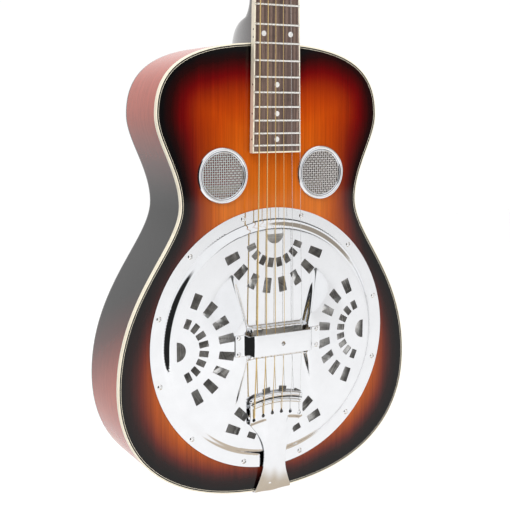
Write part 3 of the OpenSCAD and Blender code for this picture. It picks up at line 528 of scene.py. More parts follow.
def loop_distance(points, loop):
    """Distance from each point to a closed loop."""
    best = np.full(len(points), np.inf)
    for p, q in zip(loop, np.roll(loop, -1, axis=0)):
        d = q - p
        t = np.clip(((points - p) @ d) / max(d @ d, 1e-12), 0, 1)
        best = np.minimum(best, np.linalg.norm(points - p - t[:, None] * d, axis=1))
    return best


def flat_mesh(outer, holes, spacing, extra=(), margin=0.55):
    """Triangulates a flat region with holes. Returns its points, triangles and border edges."""
    low, high = outer.min(0), outer.max(0)
    xs = np.arange(low[0], high[0] + spacing, spacing)
    zs = np.arange(low[1], high[1] + spacing, spacing * 0.866)
    grid = np.array([(x + (j % 2) * spacing / 2, z) for j, z in enumerate(zs) for x in xs])
    loops = [outer, *holes]
    fill = [grid]
    if len(extra):
        extra = np.asarray(extra, float)
        near = np.array([np.min(np.linalg.norm(extra - g, axis=1)) for g in grid])
        fill = [grid[near > spacing * 0.5], extra]
    fill = np.vstack(fill)
    keep = inside(fill, outer)
    for loop in holes:
        keep &= ~inside(fill, loop)
    fill = fill[keep]
    for loop in loops:
        size = np.median(np.linalg.norm(loop - np.roll(loop, 1, axis=0), axis=1))
        fill = fill[loop_distance(fill, loop) > min(size, spacing) * margin]
    points = np.vstack([*loops, fill])
    edges = []
    start = 0
    for loop in loops:
        count = len(loop)
        edges += [(start + i, start + (i + 1) % count) for i in range(count)]
        start += count
    result = delaunay_2d_cdt([Vector(p) for p in points], edges, [], 0, 1e-6)
    points = np.array([tuple(v) for v in result[0]])
    triangles = np.array([f for f in result[2] if len(f) == 3])
    middle = points[triangles].mean(1)
    keep = inside(middle, outer)
    for loop in holes:
        keep &= ~inside(middle, loop)
    triangles = triangles[keep]
    a, b, c = (points[triangles[:, i]] for i in range(3))
    turned = (b[:, 0] - a[:, 0]) * (c[:, 1] - a[:, 1]) - (b[:, 1] - a[:, 1]) * (c[:, 0] - a[:, 0])
    triangles[turned < 0] = triangles[turned < 0][:, ::-1]
    sides = [(t[i], t[(i + 1) % 3]) for t in triangles for i in range(3)]
    known = set(sides)
    border = [(a, b) for a, b in sides if (b, a) not in known]
    return points, triangles, border


def sheet_piece(name, region, place, material, rim=0.0, **options):
    """A thin plate: place(points, depth) puts flat points in space, 0 for its front and 1 for
    its back. rim rounds its edges by that much."""
    points, triangles, border = region
    count = len(points)
    faces = [tuple(t) for t in triangles]
    faces += [tuple(t[::-1] + count) for t in triangles]
    faces += [(b, a, a + count, b + count) for a, b in border]
    both_sides = np.vstack([place(points, 0.0), place(points, 1.0)])
    obj = add_piece(name, both_sides, faces, material, **options)
    if rim:
        bevel(obj, rim)
    return obj


def lathe(name, profile, x, z, material, **options):
    """Turns a closed profile of (radius, height in front of the soundboard) round a Y axis."""
    turn = circle(0, 0, 1, 96)
    points = [(x + r * c, front(h), z + r * s) for c, s in turn for r, h in profile]
    faces = ring_faces(len(turn), len(profile), closed=True)
    return add_piece(name, points, faces, material, **options)


def tube_mesh(path, radius, sides=10):
    """Points and faces of a round tube along a path, with flat ends."""
    path = np.asarray(path, float)
    radii = np.broadcast_to(radius, (len(path),))
    steps = np.gradient(path, axis=0)
    steps /= np.linalg.norm(steps, axis=1)[:, None]
    up = np.array((0.0, 1.0, 0.0))
    if abs(steps[0] @ up) > 0.9:
        up = np.array((1.0, 0.0, 0.0))
    points = []
    for p, d, r in zip(path, steps, radii):
        up = up - (up @ d) * d
        up /= np.linalg.norm(up)
        side = np.cross(d, up)
        points += [p + r * c * up + r * s * side for c, s in circle(0, 0, 1, sides)]
    return points, ring_faces(len(path), sides) + end_caps(len(path), sides)


def revolve(profile, place):
    """Turns (radius, distance) rows round an axis; place(a, b, d) puts each point in space."""
    turn = circle(0, 0, 1, 28)
    points = [place(r * c, r * s, d) for r, d in profile for c, s in turn]
    return points, ring_faces(len(profile), len(turn)) + end_caps(len(profile), len(turn))


def join_meshes(parts):
    """Joins (points, faces) pairs into one."""
    points = []
    faces = []
    for some_points, some_faces in parts:
        start = len(points)
        points += [tuple(p) for p in some_points]
        faces += [tuple(i + start for i in f) for f in some_faces]
    return points, faces


# ---------------------------------------------------------------- body

UPPER_HALF = 134
WAIST_HALF = 108
LOWER_HALF = BIND_HIGH.x
UPPER_Z = BRIDGE_Z + 243
WAIST_Z = BRIDGE_Z + 151
LOWER_Z = BRIDGE_Z - 39
TOP_Z = BIND_HIGH.z
END_Z = BIND_LOW.z
OUTLINE_STEPS = 40
BIND_W = 1.5
BIND_TALL = 4.8
PURFLING_W = 0.7
EDGE_ROUND = 1.0
WELL_R = 135.0
SIDE_THICK = 2.5
SIDE_ROWS = 14


def half_outline():
    """Treble half of the body's outline, from the neck to the tail."""
    curves = [
        [(0, TOP_Z), (92, TOP_Z), (UPPER_HALF, UPPER_Z + 54), (UPPER_HALF, UPPER_Z)],
        [(UPPER_HALF, UPPER_Z), (UPPER_HALF, UPPER_Z - 26), (WAIST_HALF, WAIST_Z + 35),
         (WAIST_HALF, WAIST_Z)],
        [(WAIST_HALF, WAIST_Z), (WAIST_HALF, WAIST_Z - 43), (LOWER_HALF, LOWER_Z + 99),
         (LOWER_HALF, LOWER_Z)],
        [(LOWER_HALF, LOWER_Z), (LOWER_HALF, LOWER_Z - 84), (114, END_Z), (0, END_Z)],
    ]
    t = np.arange(OUTLINE_STEPS) / OUTLINE_STEPS
    return np.vstack([bezier(c, t) for c in curves] + [np.array([(0.0, END_Z)])])


def whole_outline():
    """The closed outline, clockwise from the neck when seen from the front."""
    right = half_outline()
    left = right[1:-1][::-1] * (-1, 1)
    return np.vstack([right, left])


OUTLINE = whole_outline()


def inset(loop, distance):
    """Moves a closed clockwise loop inwards along its normals."""
    ahead = np.roll(loop, -1, axis=0) - np.roll(loop, 1, axis=0)
    ahead /= np.linalg.norm(ahead, axis=1)[:, None]
    normal = np.column_stack([ahead[:, 1], -ahead[:, 0]])
    return loop + distance * normal


def flat_at(y0, y1):
    """A placing function for a flat plate between two planes."""
    def place(points, depth):
        y = np.full(len(points), y0 + depth * (y1 - y0))
        return np.column_stack([points[:, 0], y, points[:, 1]])
    return place


def burst_depth(flat):
    """How far inside the burst each point is, in mm: the spray is narrower at the waist and
    wider on the treble side."""
    x, z = flat[:, 0], flat[:, 1]
    waist = np.exp(-((z - WAIST_Z) / 45) ** 2)
    depth = loop_distance(flat, OUTLINE) * (1 + 0.9 * waist) - 5 * waist
    lower = ease((WAIST_Z - 30 - z) / 60)
    depth = np.where(depth > 17, 17 + (depth - 17) * (1 + 0.75 * lower), depth)
    depth -= 9 * ease((z - UPPER_Z) / 50) * ease((60 - np.abs(x)) / 60)
    treble = ease(x / 90)
    return depth + treble * (9 * ease((z - BRIDGE_Z - 75) / 60) - 4)


def make_soundboard():
    """The top with its well for the cone and a hole for each screen."""
    hole_r = SCREEN_R - 3.5
    holes = [circle(0, BRIDGE_Z, WELL_R, 160),
             circle(-SCREEN_X, SCREEN_Z, hole_r, 64), circle(SCREEN_X, SCREEN_Z, hole_r, 64)]
    region = flat_mesh(inset(OUTLINE, BIND_W + PURFLING_W), holes, 6.0)
    obj = sheet_piece("soundboard_top", region, flat_at(FACE_Y, TOP_HIGH.y), BURST,
                      node="soundboard", slot="top_wood")
    set_attribute(obj, "edge", np.tile(burst_depth(region[0]), 2))


def ring_strip(name, sections, material, **options):
    """A closed band round the body. sections lists (inset, y) of its cross-section."""
    points = [(x, y, z) for d, y in sections for x, z in inset(OUTLINE, d)]
    faces = ring_faces(len(sections), len(OUTLINE), closed=True)
    return add_piece(name, points, faces, material, **options)


def rounded_corner(y, way):
    """Cross-section of a binding's outer corner; way is 1 at the front and -1 at the back."""
    r = EDGE_ROUND
    return [(r - r * math.sin(a), y + way * (r - r * math.cos(a)))
            for a in np.linspace(0, math.pi / 2, 5)]


def purfling(name, start, end, lift, depth, material, slot):
    """A line let into the soundboard between two distances from the outline."""
    face = BIND_LOW.y - lift
    bottom = BIND_LOW.y + depth
    sections = [(start, face), (start, bottom), (end, bottom), (end, face)]
    ring_strip(name, sections, material, slot=slot)


def make_bindings():
    """The cream top edging with its two lines, and the dark back edging."""
    y0 = BIND_LOW.y
    y1 = y0 + BIND_TALL
    ring_strip("edge_binding_top",
               rounded_corner(y0, 1) + [(0, y1), (BIND_W, y1), (BIND_W, y0)], CREAM,
               node="top_binding", slot="binding")
    purfling("purfling_white", BIND_W + 1.4, BIND_W + 1.75, 0.02, 0.4, CREAM, "binding")
    purfling("purfling_top", BIND_W, BIND_W + PURFLING_W, 0, 1.2, BLACK_LINE, "black_plastic")
    ring_strip("edge_binding_back",
               rounded_corner(EDGE_HIGH.y, -1)
               + [(0, EDGE_LOW.y), (BIND_W, EDGE_LOW.y), (BIND_W, EDGE_HIGH.y)],
               BLACK_LINE, node="back_binding", slot="black_plastic")


def side_burst(points):
    """How red a place on the sides is: 0 black at the waist, 1 at the two bouts."""
    z = points[:, 2]
    y = points[:, 1]
    upper = ease((z - WAIST_Z) / 110)
    lower = ease((WAIST_Z - 70 - z - 0.5 * (y - FACE_Y)) / 130)
    return upper + lower


def make_side(side, name, node):
    """One bent side: the outer skin with its depth in rows, and the inner skin."""
    half = half_outline()
    count = len(half)
    outer = half * (side, 1)
    inner = inset(OUTLINE, SIDE_THICK)[:count] * (side, 1)
    inner[0, 0] = inner[-1, 0] = 0
    ys = np.linspace(BIND_LOW.y + BIND_TALL, EDGE_LOW.y, SIDE_ROWS)
    points = [(x, y, z) for y in ys for x, z in outer]
    points += [(x, y, z) for y in (ys[-1], ys[0]) for x, z in inner]
    rows = len(ys) + 2
    faces = ring_faces(rows, count, closed=True, wrap=False)
    for i in (0, count - 1):
        faces.append(tuple(k * count + i for k in range(rows)))
    obj = add_piece(name, points, faces, SIDE, node=node, slot="side_wood", smooth=50)
    set_attribute(obj, "edge", side_burst(np.array(points)))


def make_back():
    """The flat back, darker towards its edge."""
    region = flat_mesh(inset(OUTLINE, BIND_W), [], 8.0)
    obj = sheet_piece("back_panel", region, flat_at(BACK_HIGH.y, BACK_LOW.y), BACK,
                      node="back_plate", slot="side_wood")
    distance = loop_distance(region[0], OUTLINE)
    set_attribute(obj, "edge", np.clip(np.tile(distance, 2) / 70, 0, 1))


make_soundboard()
make_bindings()
make_side(-1, "bass_rib", "bass_side")
make_side(1, "treble_rib", "treble_side")
make_back()

# ---------------------------------------------------------------- coverplate

SHEET = 1.0
STEP_OUT = 131.0
STEP_IN = 124.0
FLOOR_H = 5.5
DOME_OUT = 94.0
DOME_IN = 50.0
DOME_H = COVER_HIGH.y - COVER_LOW.y
CHANNEL_HALF = 34.0
CHANNEL_START = 17.0
CHANNEL_SPREAD = 0.25
WALL_W = 5.0
COLLAR_X = 31.0
COLLAR_Z = 17.0
COLLAR_H = 12.5
FAN_R = 117.0
FAN_ANGLES = (9.5, 28, 47, 66)
COVER_SCREW_R = 139.0


def cover_height(points):
    """Height of the coverplate's front above the soundboard."""
    x = points[:, 0]
    z = points[:, 1] - BRIDGE_Z
    r = np.hypot(x, z)
    floor = SHEET + (FLOOR_H - SHEET) * ease((STEP_OUT - r) / (STEP_OUT - STEP_IN))
    rise = np.clip((DOME_OUT - r) / (DOME_OUT - DOME_IN), 0, 1)
    dome = (DOME_H - FLOOR_H) * rise ** 1.3
    along_z = np.maximum(np.abs(z) - CHANNEL_START, 0)
    side = ease((np.abs(x) - CHANNEL_HALF - CHANNEL_SPREAD * along_z) / WALL_W)
    collar = ease((COLLAR_Z + 2.2 - np.abs(z)) / 3) * ease((COLLAR_X + 3.8 - np.abs(x)) / 2.6)
    return np.maximum(floor + dome * side, (FLOOR_H + (COLLAR_H - FLOOR_H) * collar) * (r < 60))


def fan_holes():
    """The four fans: a half disc and two rows of slots each."""
    loops = []
    for turn in range(4):
        a = turn * math.pi / 2
        spin = np.array([(math.cos(a), math.sin(a)), (-math.sin(a), math.cos(a))])
        half_angles = np.linspace(math.pi, 2 * math.pi, 18)
        disc = np.column_stack([10.5 * np.cos(half_angles), FAN_R + 10.5 * np.sin(half_angles)])
        shapes = [disc]
        for side in (-1, 1):
            for angle in FAN_ANGLES:
                b = math.radians(180 + side * angle)
                tilt = np.array([(math.cos(b), math.sin(b)), (-math.sin(b), math.cos(b))])
                inner = np.array([(-3.3, 26), (3.3, 26), (3.5, 36.5), (-3.5, 36.5)])
                outer = np.array([(-4.2, 48), (4.2, 48), (4.9, 64.6), (-4.9, 64.6)])
                for corners in (inner, outer):
                    shapes.append(rounded(corners, 0.9) @ tilt + (0, FAN_R))
        loops += [s @ spin + (0, BRIDGE_Z) for s in shapes]
    return loops


def rounded(corners, r, steps=3, split=3):
    """A polygon with its corners rounded and its edges divided."""
    count = len(corners)
    points = []
    for i in range(count):
        here = corners[i]
        before = corners[i - 1] - here
        after = corners[(i + 1) % count] - here
        start = here + before / np.linalg.norm(before) * r
        end = here + after / np.linalg.norm(after) * r
        for t in np.linspace(0, 1, steps + 1):
            points.append((1 - t) ** 2 * start + 2 * t * (1 - t) * here + t * t * end)
        following = corners[(i + 1) % count]
        stop = following - after / np.linalg.norm(after) * r
        for t in np.linspace(0, 1, split + 1)[1:-1]:
            points.append(end * (1 - t) + stop * t)
    return np.array(points)


def cover_extra_points():
    """Rows of points along the step, the channel walls and the collar."""
    rows = []
    for r in (143.5, 134, 132.4, 131, 129.6, 128, 126.6, 125.2, 124, 122.6, 119.5, 117.5, 115):
        rows.append(circle(0, BRIDGE_Z, r, int(2 * math.pi * r / 3.2)))
    for side_x in (-1, 1):
        for side_z in (-1, 1):
            for across in (-1.2, 0, 1.2, 2.5, 3.8, 5, 6.2):
                z = np.arange(0, 100, 2.4)
                x = CHANNEL_HALF + across + CHANNEL_SPREAD * np.maximum(z - CHANNEL_START, 0)
                rows.append(np.column_stack([side_x * x, BRIDGE_Z + side_z * (z + 0.01)]))
        for across in (15.9, 16.6, 17.4, 18.2, 19.0, 19.9):
            x = np.arange(-33, 34, 2.4)
            rows.append(np.column_stack([x, np.full(len(x), BRIDGE_Z + side_x * across)]))
    return np.vstack(rows)


def make_coverplate():
    """The pressed plate with its fans and the opening over the saddle."""
    opening = rounded(np.array([(-COLLAR_X, BRIDGE_Z - 15.2), (COLLAR_X, BRIDGE_Z - 15.2),
                                (COLLAR_X, BRIDGE_Z + 15.2), (-COLLAR_X, BRIDGE_Z + 15.2)]),
                      3, 5, 14)
    holes = fan_holes() + [opening]
    region = flat_mesh(circle(0, BRIDGE_Z, COVER_R, 240), holes, 3.4, cover_extra_points(), 0.35)

    def place(points, depth):
        height = cover_height(points) - depth * SHEET
        return np.column_stack([points[:, 0], front(height), points[:, 1]])

    sheet_piece("coverplate_shell", region, place, CHROME, node="coverplate", slot="chrome",
                smooth=55)


make_coverplate()

# ---------------------------------------------------------------- screws


def screw_head(radius, height):
    """A domed head with a cross recess, pointing to -Y, as (points, faces)."""
    rings = 7
    count = 24
    arm = radius * 0.17
    reach = radius * 0.55
    points = [(0.0, -height * 0.55, 0.0)]
    for k in range(1, rings + 1):
        r = radius * k / rings
        h = height * math.sqrt(max(0.0, 1 - (r / radius) ** 2.2))
        for x, z in circle(0, 0, r, count):
            in_arm = min(abs(x), abs(z)) < arm and max(abs(x), abs(z)) < reach
            points.append((x, (0.45 * height if in_arm else 0) - h, z))
    points.append((0.0, 0.2, 0.0))
    base = 1 + (rings - 1) * count
    faces = [(0, 1 + (i + 1) % count, 1 + i) for i in range(count)]
    faces += [tuple(1 + p for p in face) for face in ring_faces(rings, count)]
    faces += [(base + (i + 1) % count, base + i, len(points) - 1) for i in range(count)]
    return points, faces


def screws(name, places, radius, height, turn=0.35, **options):
    """Screw heads at (x, y, z) places, each turned a little differently."""
    parts = []
    for i, (x, y, z) in enumerate(places):
        points, faces = screw_head(radius, height)
        a = turn + i * 1.1
        c, s = math.cos(a), math.sin(a)
        moved = [(x + px * c - pz * s, y + py, z + px * s + pz * c) for px, py, pz in points]
        parts.append((moved, faces))
    points, faces = join_meshes(parts)
    return add_piece(name, points, faces, SCREW_CHROME, slot="screw_metal", smooth=30, **options)


def make_cover_screws():
    """Twelve heads round the coverplate's rim, clear of the neck's and the tail's line."""
    ring = circle(0, 0, COVER_SCREW_R, 24)[1::2]
    places = [(x, front(SHEET), BRIDGE_Z + z) for x, z in ring]
    screws("coverplate_screw_heads", places, 2.9, 1.4, node="coverplate_screws")


make_cover_screws()

# ---------------------------------------------------------------- palm rest

REST_X = 35.5
REST_FOOT = 42.0
REST_HALF_Z = (REST_HIGH.z - REST_LOW.z) / 2
REST_SHEET = 1.5
REST_END = REST_HIGH.x
REST_TOP_H = FACE_Y - REST_LOW.y
REST_FOOT_H = FACE_Y - REST_HIGH.y + REST_SHEET


def smooth_path(corners, radii, steps=6):
    """A path through corners, each rounded by its own distance."""
    corners = np.asarray(corners, float)
    path = [corners[0]]
    for before, here, after, r in zip(corners, corners[1:], corners[2:], radii):
        start = here + (before - here) / np.linalg.norm(before - here) * r
        end = here + (after - here) / np.linalg.norm(after - here) * r
        for t in np.linspace(0, 1, steps + 1):
            path.append((1 - t) ** 2 * start + 2 * t * (1 - t) * here + t * t * end)
    path.append(corners[-1])
    return np.array(path)


def along(path, s):
    """Points and unit normals of a flat path at arc lengths s."""
    steps = np.linalg.norm(np.diff(path, axis=0), axis=1)
    total = np.concatenate([[0], np.cumsum(steps)])
    place = np.column_stack([np.interp(s, total, path[:, i]) for i in range(2)])
    nudge = 0.25
    ahead = np.column_stack([np.interp(s + nudge, total, path[:, i]) for i in range(2)])
    behind = np.column_stack([np.interp(s - nudge, total, path[:, i]) for i in range(2)])
    way = ahead - behind
    way /= np.linalg.norm(way, axis=1)[:, None]
    return place, np.column_stack([-way[:, 1], way[:, 0]])


def rest_outline(length):
    """The bar's outline laid flat, with a waist halfway down each leg."""
    leg = math.hypot(REST_FOOT - REST_X, REST_TOP_H - REST_FOOT_H)
    mid = length / 2
    bend = mid - REST_X
    stops = (0, bend - leg, bend, length - bend, length - bend + leg, length)
    parts = [np.linspace(a, b, count)[:-1]
             for a, b, count in zip(stops, stops[1:], (8, 12, 50, 12, 8))]
    s = np.concatenate([*parts, [length]])
    half = REST_HALF_Z - 1.6 * np.exp(-((np.abs(s - mid) - REST_X - leg / 2) / 4.0) ** 2)
    upper = np.column_stack([s, half])
    lower = np.column_stack([s, -half])[::-1]
    far_end = np.column_stack([np.full(5, length), np.linspace(half[-1], -half[-1], 7)[1:-1]])
    near_end = np.column_stack([np.zeros(5), np.linspace(-half[0], half[0], 7)[1:-1]])
    return np.vstack([upper, far_end, lower, near_end])


def make_palm_rest():
    """The folded bar over the saddle, with a small hole in its middle, and its screws."""
    corners = [(-REST_END, REST_FOOT_H), (-REST_FOOT, REST_FOOT_H), (-REST_X, REST_TOP_H),
               (REST_X, REST_TOP_H), (REST_FOOT, REST_FOOT_H), (REST_END, REST_FOOT_H)]
    path = smooth_path(corners, (1.5, 2.0, 2.0, 1.5))
    length = np.linalg.norm(np.diff(path, axis=0), axis=1).sum()
    region = flat_mesh(rest_outline(length), [circle(length / 2, 0, 2.2, 24)], 2.2, (), 0.5)

    def place(points, depth):
        spot, normal = along(path, points[:, 0])
        spot = spot - normal * depth * REST_SHEET
        on_top = ease((REST_X - np.abs(spot[:, 0])) / 4)
        crown = 0.35 * (1 - (points[:, 1] / REST_HALF_Z) ** 2) * on_top * (1 - depth)
        return np.column_stack([spot[:, 0], FACE_Y - spot[:, 1] - crown + 0.35,
                                BRIDGE_Z + points[:, 1]])

    sheet_piece("palm_rest_bar", region, place, CHROME, rim=0.35, node="palm_rest",
                slot="chrome", smooth=45)
    places = [(x, front(REST_FOOT_H) + 0.2, BRIDGE_Z + z) for x in (-48.5, 48.5) for z in (-9, 9)]
    screws("palm_rest_screw_heads", places, 2.4, 1.2, 0.7, node="palm_rest_screws")


make_palm_rest()

# ---------------------------------------------------------------- screens

MESH_R = 23.6
MESH_PITCH = 2.5
MESH_WIRE = 0.50
MESH_DOME = 2.2


def make_screen_ring(name, node, x):
    """A ring with a rounded flange, a groove, and a wall that goes into the soundboard."""
    profile = [
        (SCREEN_R, 0), (SCREEN_R, 0.9), (SCREEN_R - 0.3, 1.7), (SCREEN_R - 1.0, 2.4),
        (SCREEN_R - 1.9, 2.8), (SCREEN_R - 2.8, 2.8), (SCREEN_R - 3.6, 2.5), (SCREEN_R - 4.1, 2.0),
        (SCREEN_R - 4.3, 0.9), (SCREEN_R - 4.6, 0.9), (SCREEN_R - 4.9, 1.9), (SCREEN_R - 5.3, 2.0),
        (MESH_R + 0.2, 1.7), (MESH_R, 0.4), (MESH_R + 1.2, 0.2), (MESH_R + 1.2, -2.8),
        (SCREEN_R - 3.7, -2.8), (SCREEN_R - 3.7, 0),
    ]
    lathe(name, profile, x, SCREEN_Z, CHROME, node=node, slot="chrome", smooth=40)


def make_screen_mesh(name, node, x):
    """Woven wire: each wire waves over and under the ones it crosses, on a shallow dome."""
    reach = MESH_R + 0.8
    count = int(reach / MESH_PITCH)
    parts = []
    for way in range(2):
        for i in range(-count, count + 1):
            across = i * MESH_PITCH
            half = math.sqrt(max(reach ** 2 - across ** 2, 4.0))
            s = np.arange(-half, half + 0.01, MESH_PITCH / 4)
            wave = 0.42 * np.cos(math.pi * (s / MESH_PITCH + i + way))
            dome = MESH_DOME * (1 - (s ** 2 + across ** 2) / reach ** 2)
            height = 0.2 + dome + wave
            flat = [s, np.full(len(s), across)] if way else [np.full(len(s), across), s]
            path = np.column_stack([x + flat[0], front(height), SCREEN_Z + flat[1]])
            parts.append(tube_mesh(path, MESH_WIRE, 6))
    points, faces = join_meshes(parts)
    add_piece(name, points, faces, WIRE, node=node, slot="mesh_metal", smooth=60)


make_screen_ring("bass_ring", "bass_screen_ring", -SCREEN_X)
make_screen_ring("treble_ring", "treble_screen_ring", SCREEN_X)
make_screen_mesh("bass_weave", "bass_screen_mesh", -SCREEN_X)
make_screen_mesh("treble_weave", "treble_screen_mesh", SCREEN_X)

# ---------------------------------------------------------------- tailpiece

TAIL_SHEET = 1.6
STEM_HALF = 13.4
TAIL_FOOT = 23.0
WING_HALF = 33.0
HOLE_SPACING = 11.5


def lane(k, spacing):
    """The x of string k where neighbouring strings lie this far apart."""
    return (3.5 - k) * spacing


def hole_z(x):
    """The string-ball holes lie on a shallow arc."""
    return BRIDGE_Z - 80.3 - (x / 12.4) ** 2


def bar_z(x):
    """Middle line of the upper rolled bar."""
    return BRIDGE_Z - 60.6 - (x / 16) ** 2


def second_bar_z(x):
    """Middle line of the lower rolled bar."""
    return BRIDGE_Z - 67.6 - (x / 14) ** 2


def lip_z(x):
    """Lower edge of the raised head, where the wings end."""
    return BRIDGE_Z - 85.4 - (x / 15.5) ** 2


def tail_path():
    """Side view of the strip in z and height, from the head over the tail."""
    corners = [(BRIDGE_Z - 62, 10.2), (BRIDGE_Z - 72, 11.2), (BRIDGE_Z - 90, 10.9),
               (BRIDGE_Z - 126, 7.9), (END_Z - 2.0, 2.2), (END_Z - 2.0, FACE_Y - TAIL_BACK_Y)]
    return smooth_path(corners, (4, 8, 8, 5.0))


def tail_outline(length_at, end):
    """The strip's outline laid flat: head with wings, stem, spreading foot and fold."""
    t = np.linspace(0, 1, 14)
    wing = [(STEM_HALF, -133), (STEM_HALF, -112), (24, -100), (WING_HALF, -91)]
    foot = [(TAIL_FOOT, -172), (17.5, -158), (STEM_HALF, -148), (STEM_HALF, -133)]
    head_side = [(WING_HALF, z) for z in np.linspace(-66.5, -90, 10)]
    side = np.vstack([head_side, bezier(wing, t)[::-1], bezier(foot, t)[::-1][1:]])
    side[:, 1] = length_at(side[:, 1] + BRIDGE_Z)
    fold = np.column_stack([np.full(26, TAIL_FOOT), np.linspace(side[-1, 1], end, 27)[1:]])
    half = np.vstack([side, fold])
    top_x = np.linspace(-WING_HALF, WING_HALF, 26)[1:-1]
    top = np.column_stack([top_x, length_at(bar_z(top_x) - 1)])
    base_x = np.linspace(TAIL_FOOT, -TAIL_FOOT, 18)[1:-1]
    base = np.column_stack([base_x, np.full(len(base_x), end)])
    return np.vstack([half, base, half[::-1] * (-1, 1), top])


def ball_holes(length_at):
    """Six drop-shaped openings that take the string balls."""
    arc = np.linspace(math.radians(150), math.radians(390), 14)
    holes = []
    for k in range(1, 7):
        x = lane(k, HOLE_SPACING)
        z = hole_z(x)
        drop = np.column_stack([x + 1.9 * np.cos(arc), z + 1.9 * np.sin(arc)])
        drop = np.vstack([drop, [(x + 0.45, z + 3.6), (x - 0.45, z + 3.6)]])
        drop[:, 1] = length_at(drop[:, 1])
        holes.append(drop[::-1])
    return holes


def tail_lift(x, z):
    """How far the pressed strip lies off its path: a ridge down the stem, sunken wings."""
    below = ease((lip_z(x) - z + 0.5) / 4.4) * ease((z - BRIDGE_Z + 118) / 26)
    flare = ease((np.abs(x) - 9.5 - 0.10 * (z - BRIDGE_Z + 110)) / 5.5)
    ridge = 0.9 * np.exp(-((x - 0.5) / 8.5) ** 2) * ease((BRIDGE_Z - 88 - z) / 18)
    return ridge - 3.0 * below * flare


def make_tail_strip():
    """The pressed strip from the head over the stem and round the tail."""
    path = tail_path()
    steps = np.linalg.norm(np.diff(path, axis=0), axis=1)
    total = np.concatenate([[0], np.cumsum(steps)])
    on_face = path[:, 0] > END_Z - 1

    def length_at(z):
        return np.interp(-z, -path[on_face, 0], total[on_face])

    def place(points, depth):
        spot, normal = along(path, points[:, 1])
        lift = tail_lift(points[:, 0], spot[:, 0])
        at = spot - normal * (lift - depth * TAIL_SHEET)[:, None]
        return np.column_stack([points[:, 0], front(at[:, 1]), at[:, 0]])

    strap_hole = circle(0, total[-1] - (TAIL_BACK_Y - STRAP_Y), 3.2, 20)
    lip_x = np.linspace(-WING_HALF + 1, WING_HALF - 1, 44)
    lip = [np.column_stack([lip_x, length_at(lip_z(lip_x) - offset)])
           for offset in (-1.2, -0.2, 0.7, 1.6, 2.5, 3.4, 4.3, 5.4)]
    region = flat_mesh(tail_outline(length_at, total[-1]), [*ball_holes(length_at), strap_hole],
                       2.6, np.vstack(lip), 0.4)
    sheet_piece("tailpiece_plate", region, place, CHROME, rim=0.4, node="tailpiece",
                slot="chrome", smooth=50)


def make_tail_bars():
    """The two rolled bars that the strings bend over, and the felt line below the first."""
    x = np.linspace(-WING_HALF, WING_HALF, 37)
    round_end = np.sqrt(np.clip(1 - (np.abs(x) / (WING_HALF + 0.3)) ** 16, 0.02, 1))
    bars = []
    for at_z, radius, height in ((bar_z, 3.0, 9.4), (second_bar_z, 2.6, 9.3)):
        line = np.column_stack([x, np.full(len(x), front(height)), at_z(x)])
        bars.append(tube_mesh(line, radius * round_end, 20))
    add_piece("tailpiece_bars", *join_meshes(bars), CHROME, slot="chrome", smooth=50)
    line = np.column_stack([x * 0.97, np.full(len(x), front(10.4)), bar_z(x) - 3.4])
    add_piece("tailpiece_felt_line", *tube_mesh(line, 0.8, 8), FELT, slot="felt", smooth=50)


def make_strap_button():
    """A turned button: a flange against the tailpiece, a waist and a rounded end."""
    length = BUTTON_HIGH.z - BUTTON_LOW.z
    radius = (BUTTON_HIGH.x - BUTTON_LOW.x) / 2
    shape = [(0.0, 1.0), (0.35, 0.985), (0.70, 0.97), (0.92, 0.93), (1.0, 0.87), (0.98, 0.80),
             (0.84, 0.73), (0.66, 0.62), (0.56, 0.48), (0.54, 0.34), (0.60, 0.20), (0.74, 0.08),
             (0.86, 0.02), (0.86, 0.0), (0.0, 0.0)]
    count = 48
    points = [(radius * r * c, STRAP_Y + radius * r * s, BUTTON_HIGH.z - length * h)
              for c, s in circle(0, 0, 1, count) for r, h in shape]
    faces = ring_faces(count, len(shape), closed=True, wrap=False)
    add_piece("strap_knob", points, faces, CHROME, node="strap_button", slot="chrome", smooth=40)


make_tail_strip()
make_tail_bars()
make_strap_button()

# ---------------------------------------------------------------- strings

STRING_R = (0.2, 0.225, 0.3, 0.4, 0.525, 0.675)
NUT_SPACING = 7.4
SADDLE_SPACING = 11.2
SADDLE_H = 17.0
NUT_THICK = 5.0
BOARD_H = 9.2
FRET_H = 1.1
HEAD_TILT = math.radians(14)
HEAD_DROP = 3.0
POST_Y = 9.1
POST_S = (48.0, 84.0, 120.0)
WRAP_X = (17.0, 14.0, 11.0, 11.0, 14.0, 17.0)


def on_head(x, y, s):
    """A place given in the headstock's own tilted frame."""
    return np.array((x, front(BOARD_H) + HEAD_DROP + y * math.cos(HEAD_TILT)
                     + s * math.sin(HEAD_TILT),
                     NUT_THICK - y * math.sin(HEAD_TILT) + s * math.cos(HEAD_TILT)))


def string_side(k):
    """1 for strings wound on the treble side of the headstock, -1 for the bass side."""
    return -1 if k > 3 else 1


def string_s(k):
    """How far up the headstock string k's post is."""
    return POST_S[6 - k if k > 3 else k - 1]


def string_path(k):
    """From the ball hole over both bars, the saddle and the nut to the post."""
    r = STRING_R[k - 1]
    x = lane(k, HOLE_SPACING)
    nut_x = lane(k, NUT_SPACING)
    nut_h = BOARD_H + FRET_H + 0.3 + r
    corners = [
        (x, front(7.6), hole_z(x) + 0.4),
        (x, front(11.7 + r), hole_z(x) + 3.4),
        (x, front(12.1 + r), second_bar_z(x)),
        (x, front(12.5 + r), bar_z(x)),
        (lane(k, SADDLE_SPACING), front(SADDLE_H), BRIDGE_Z),
        (nut_x, front(nut_h), 0.0),
        (nut_x, front(nut_h), NUT_THICK),
        on_head(string_side(k) * WRAP_X[k - 1], POST_Y - 3.0 - r, string_s(k)),
    ]
    return smooth_path(corners, (0.8, 0.8, 1.5, 2.0, 1.2, 1.2), 5)


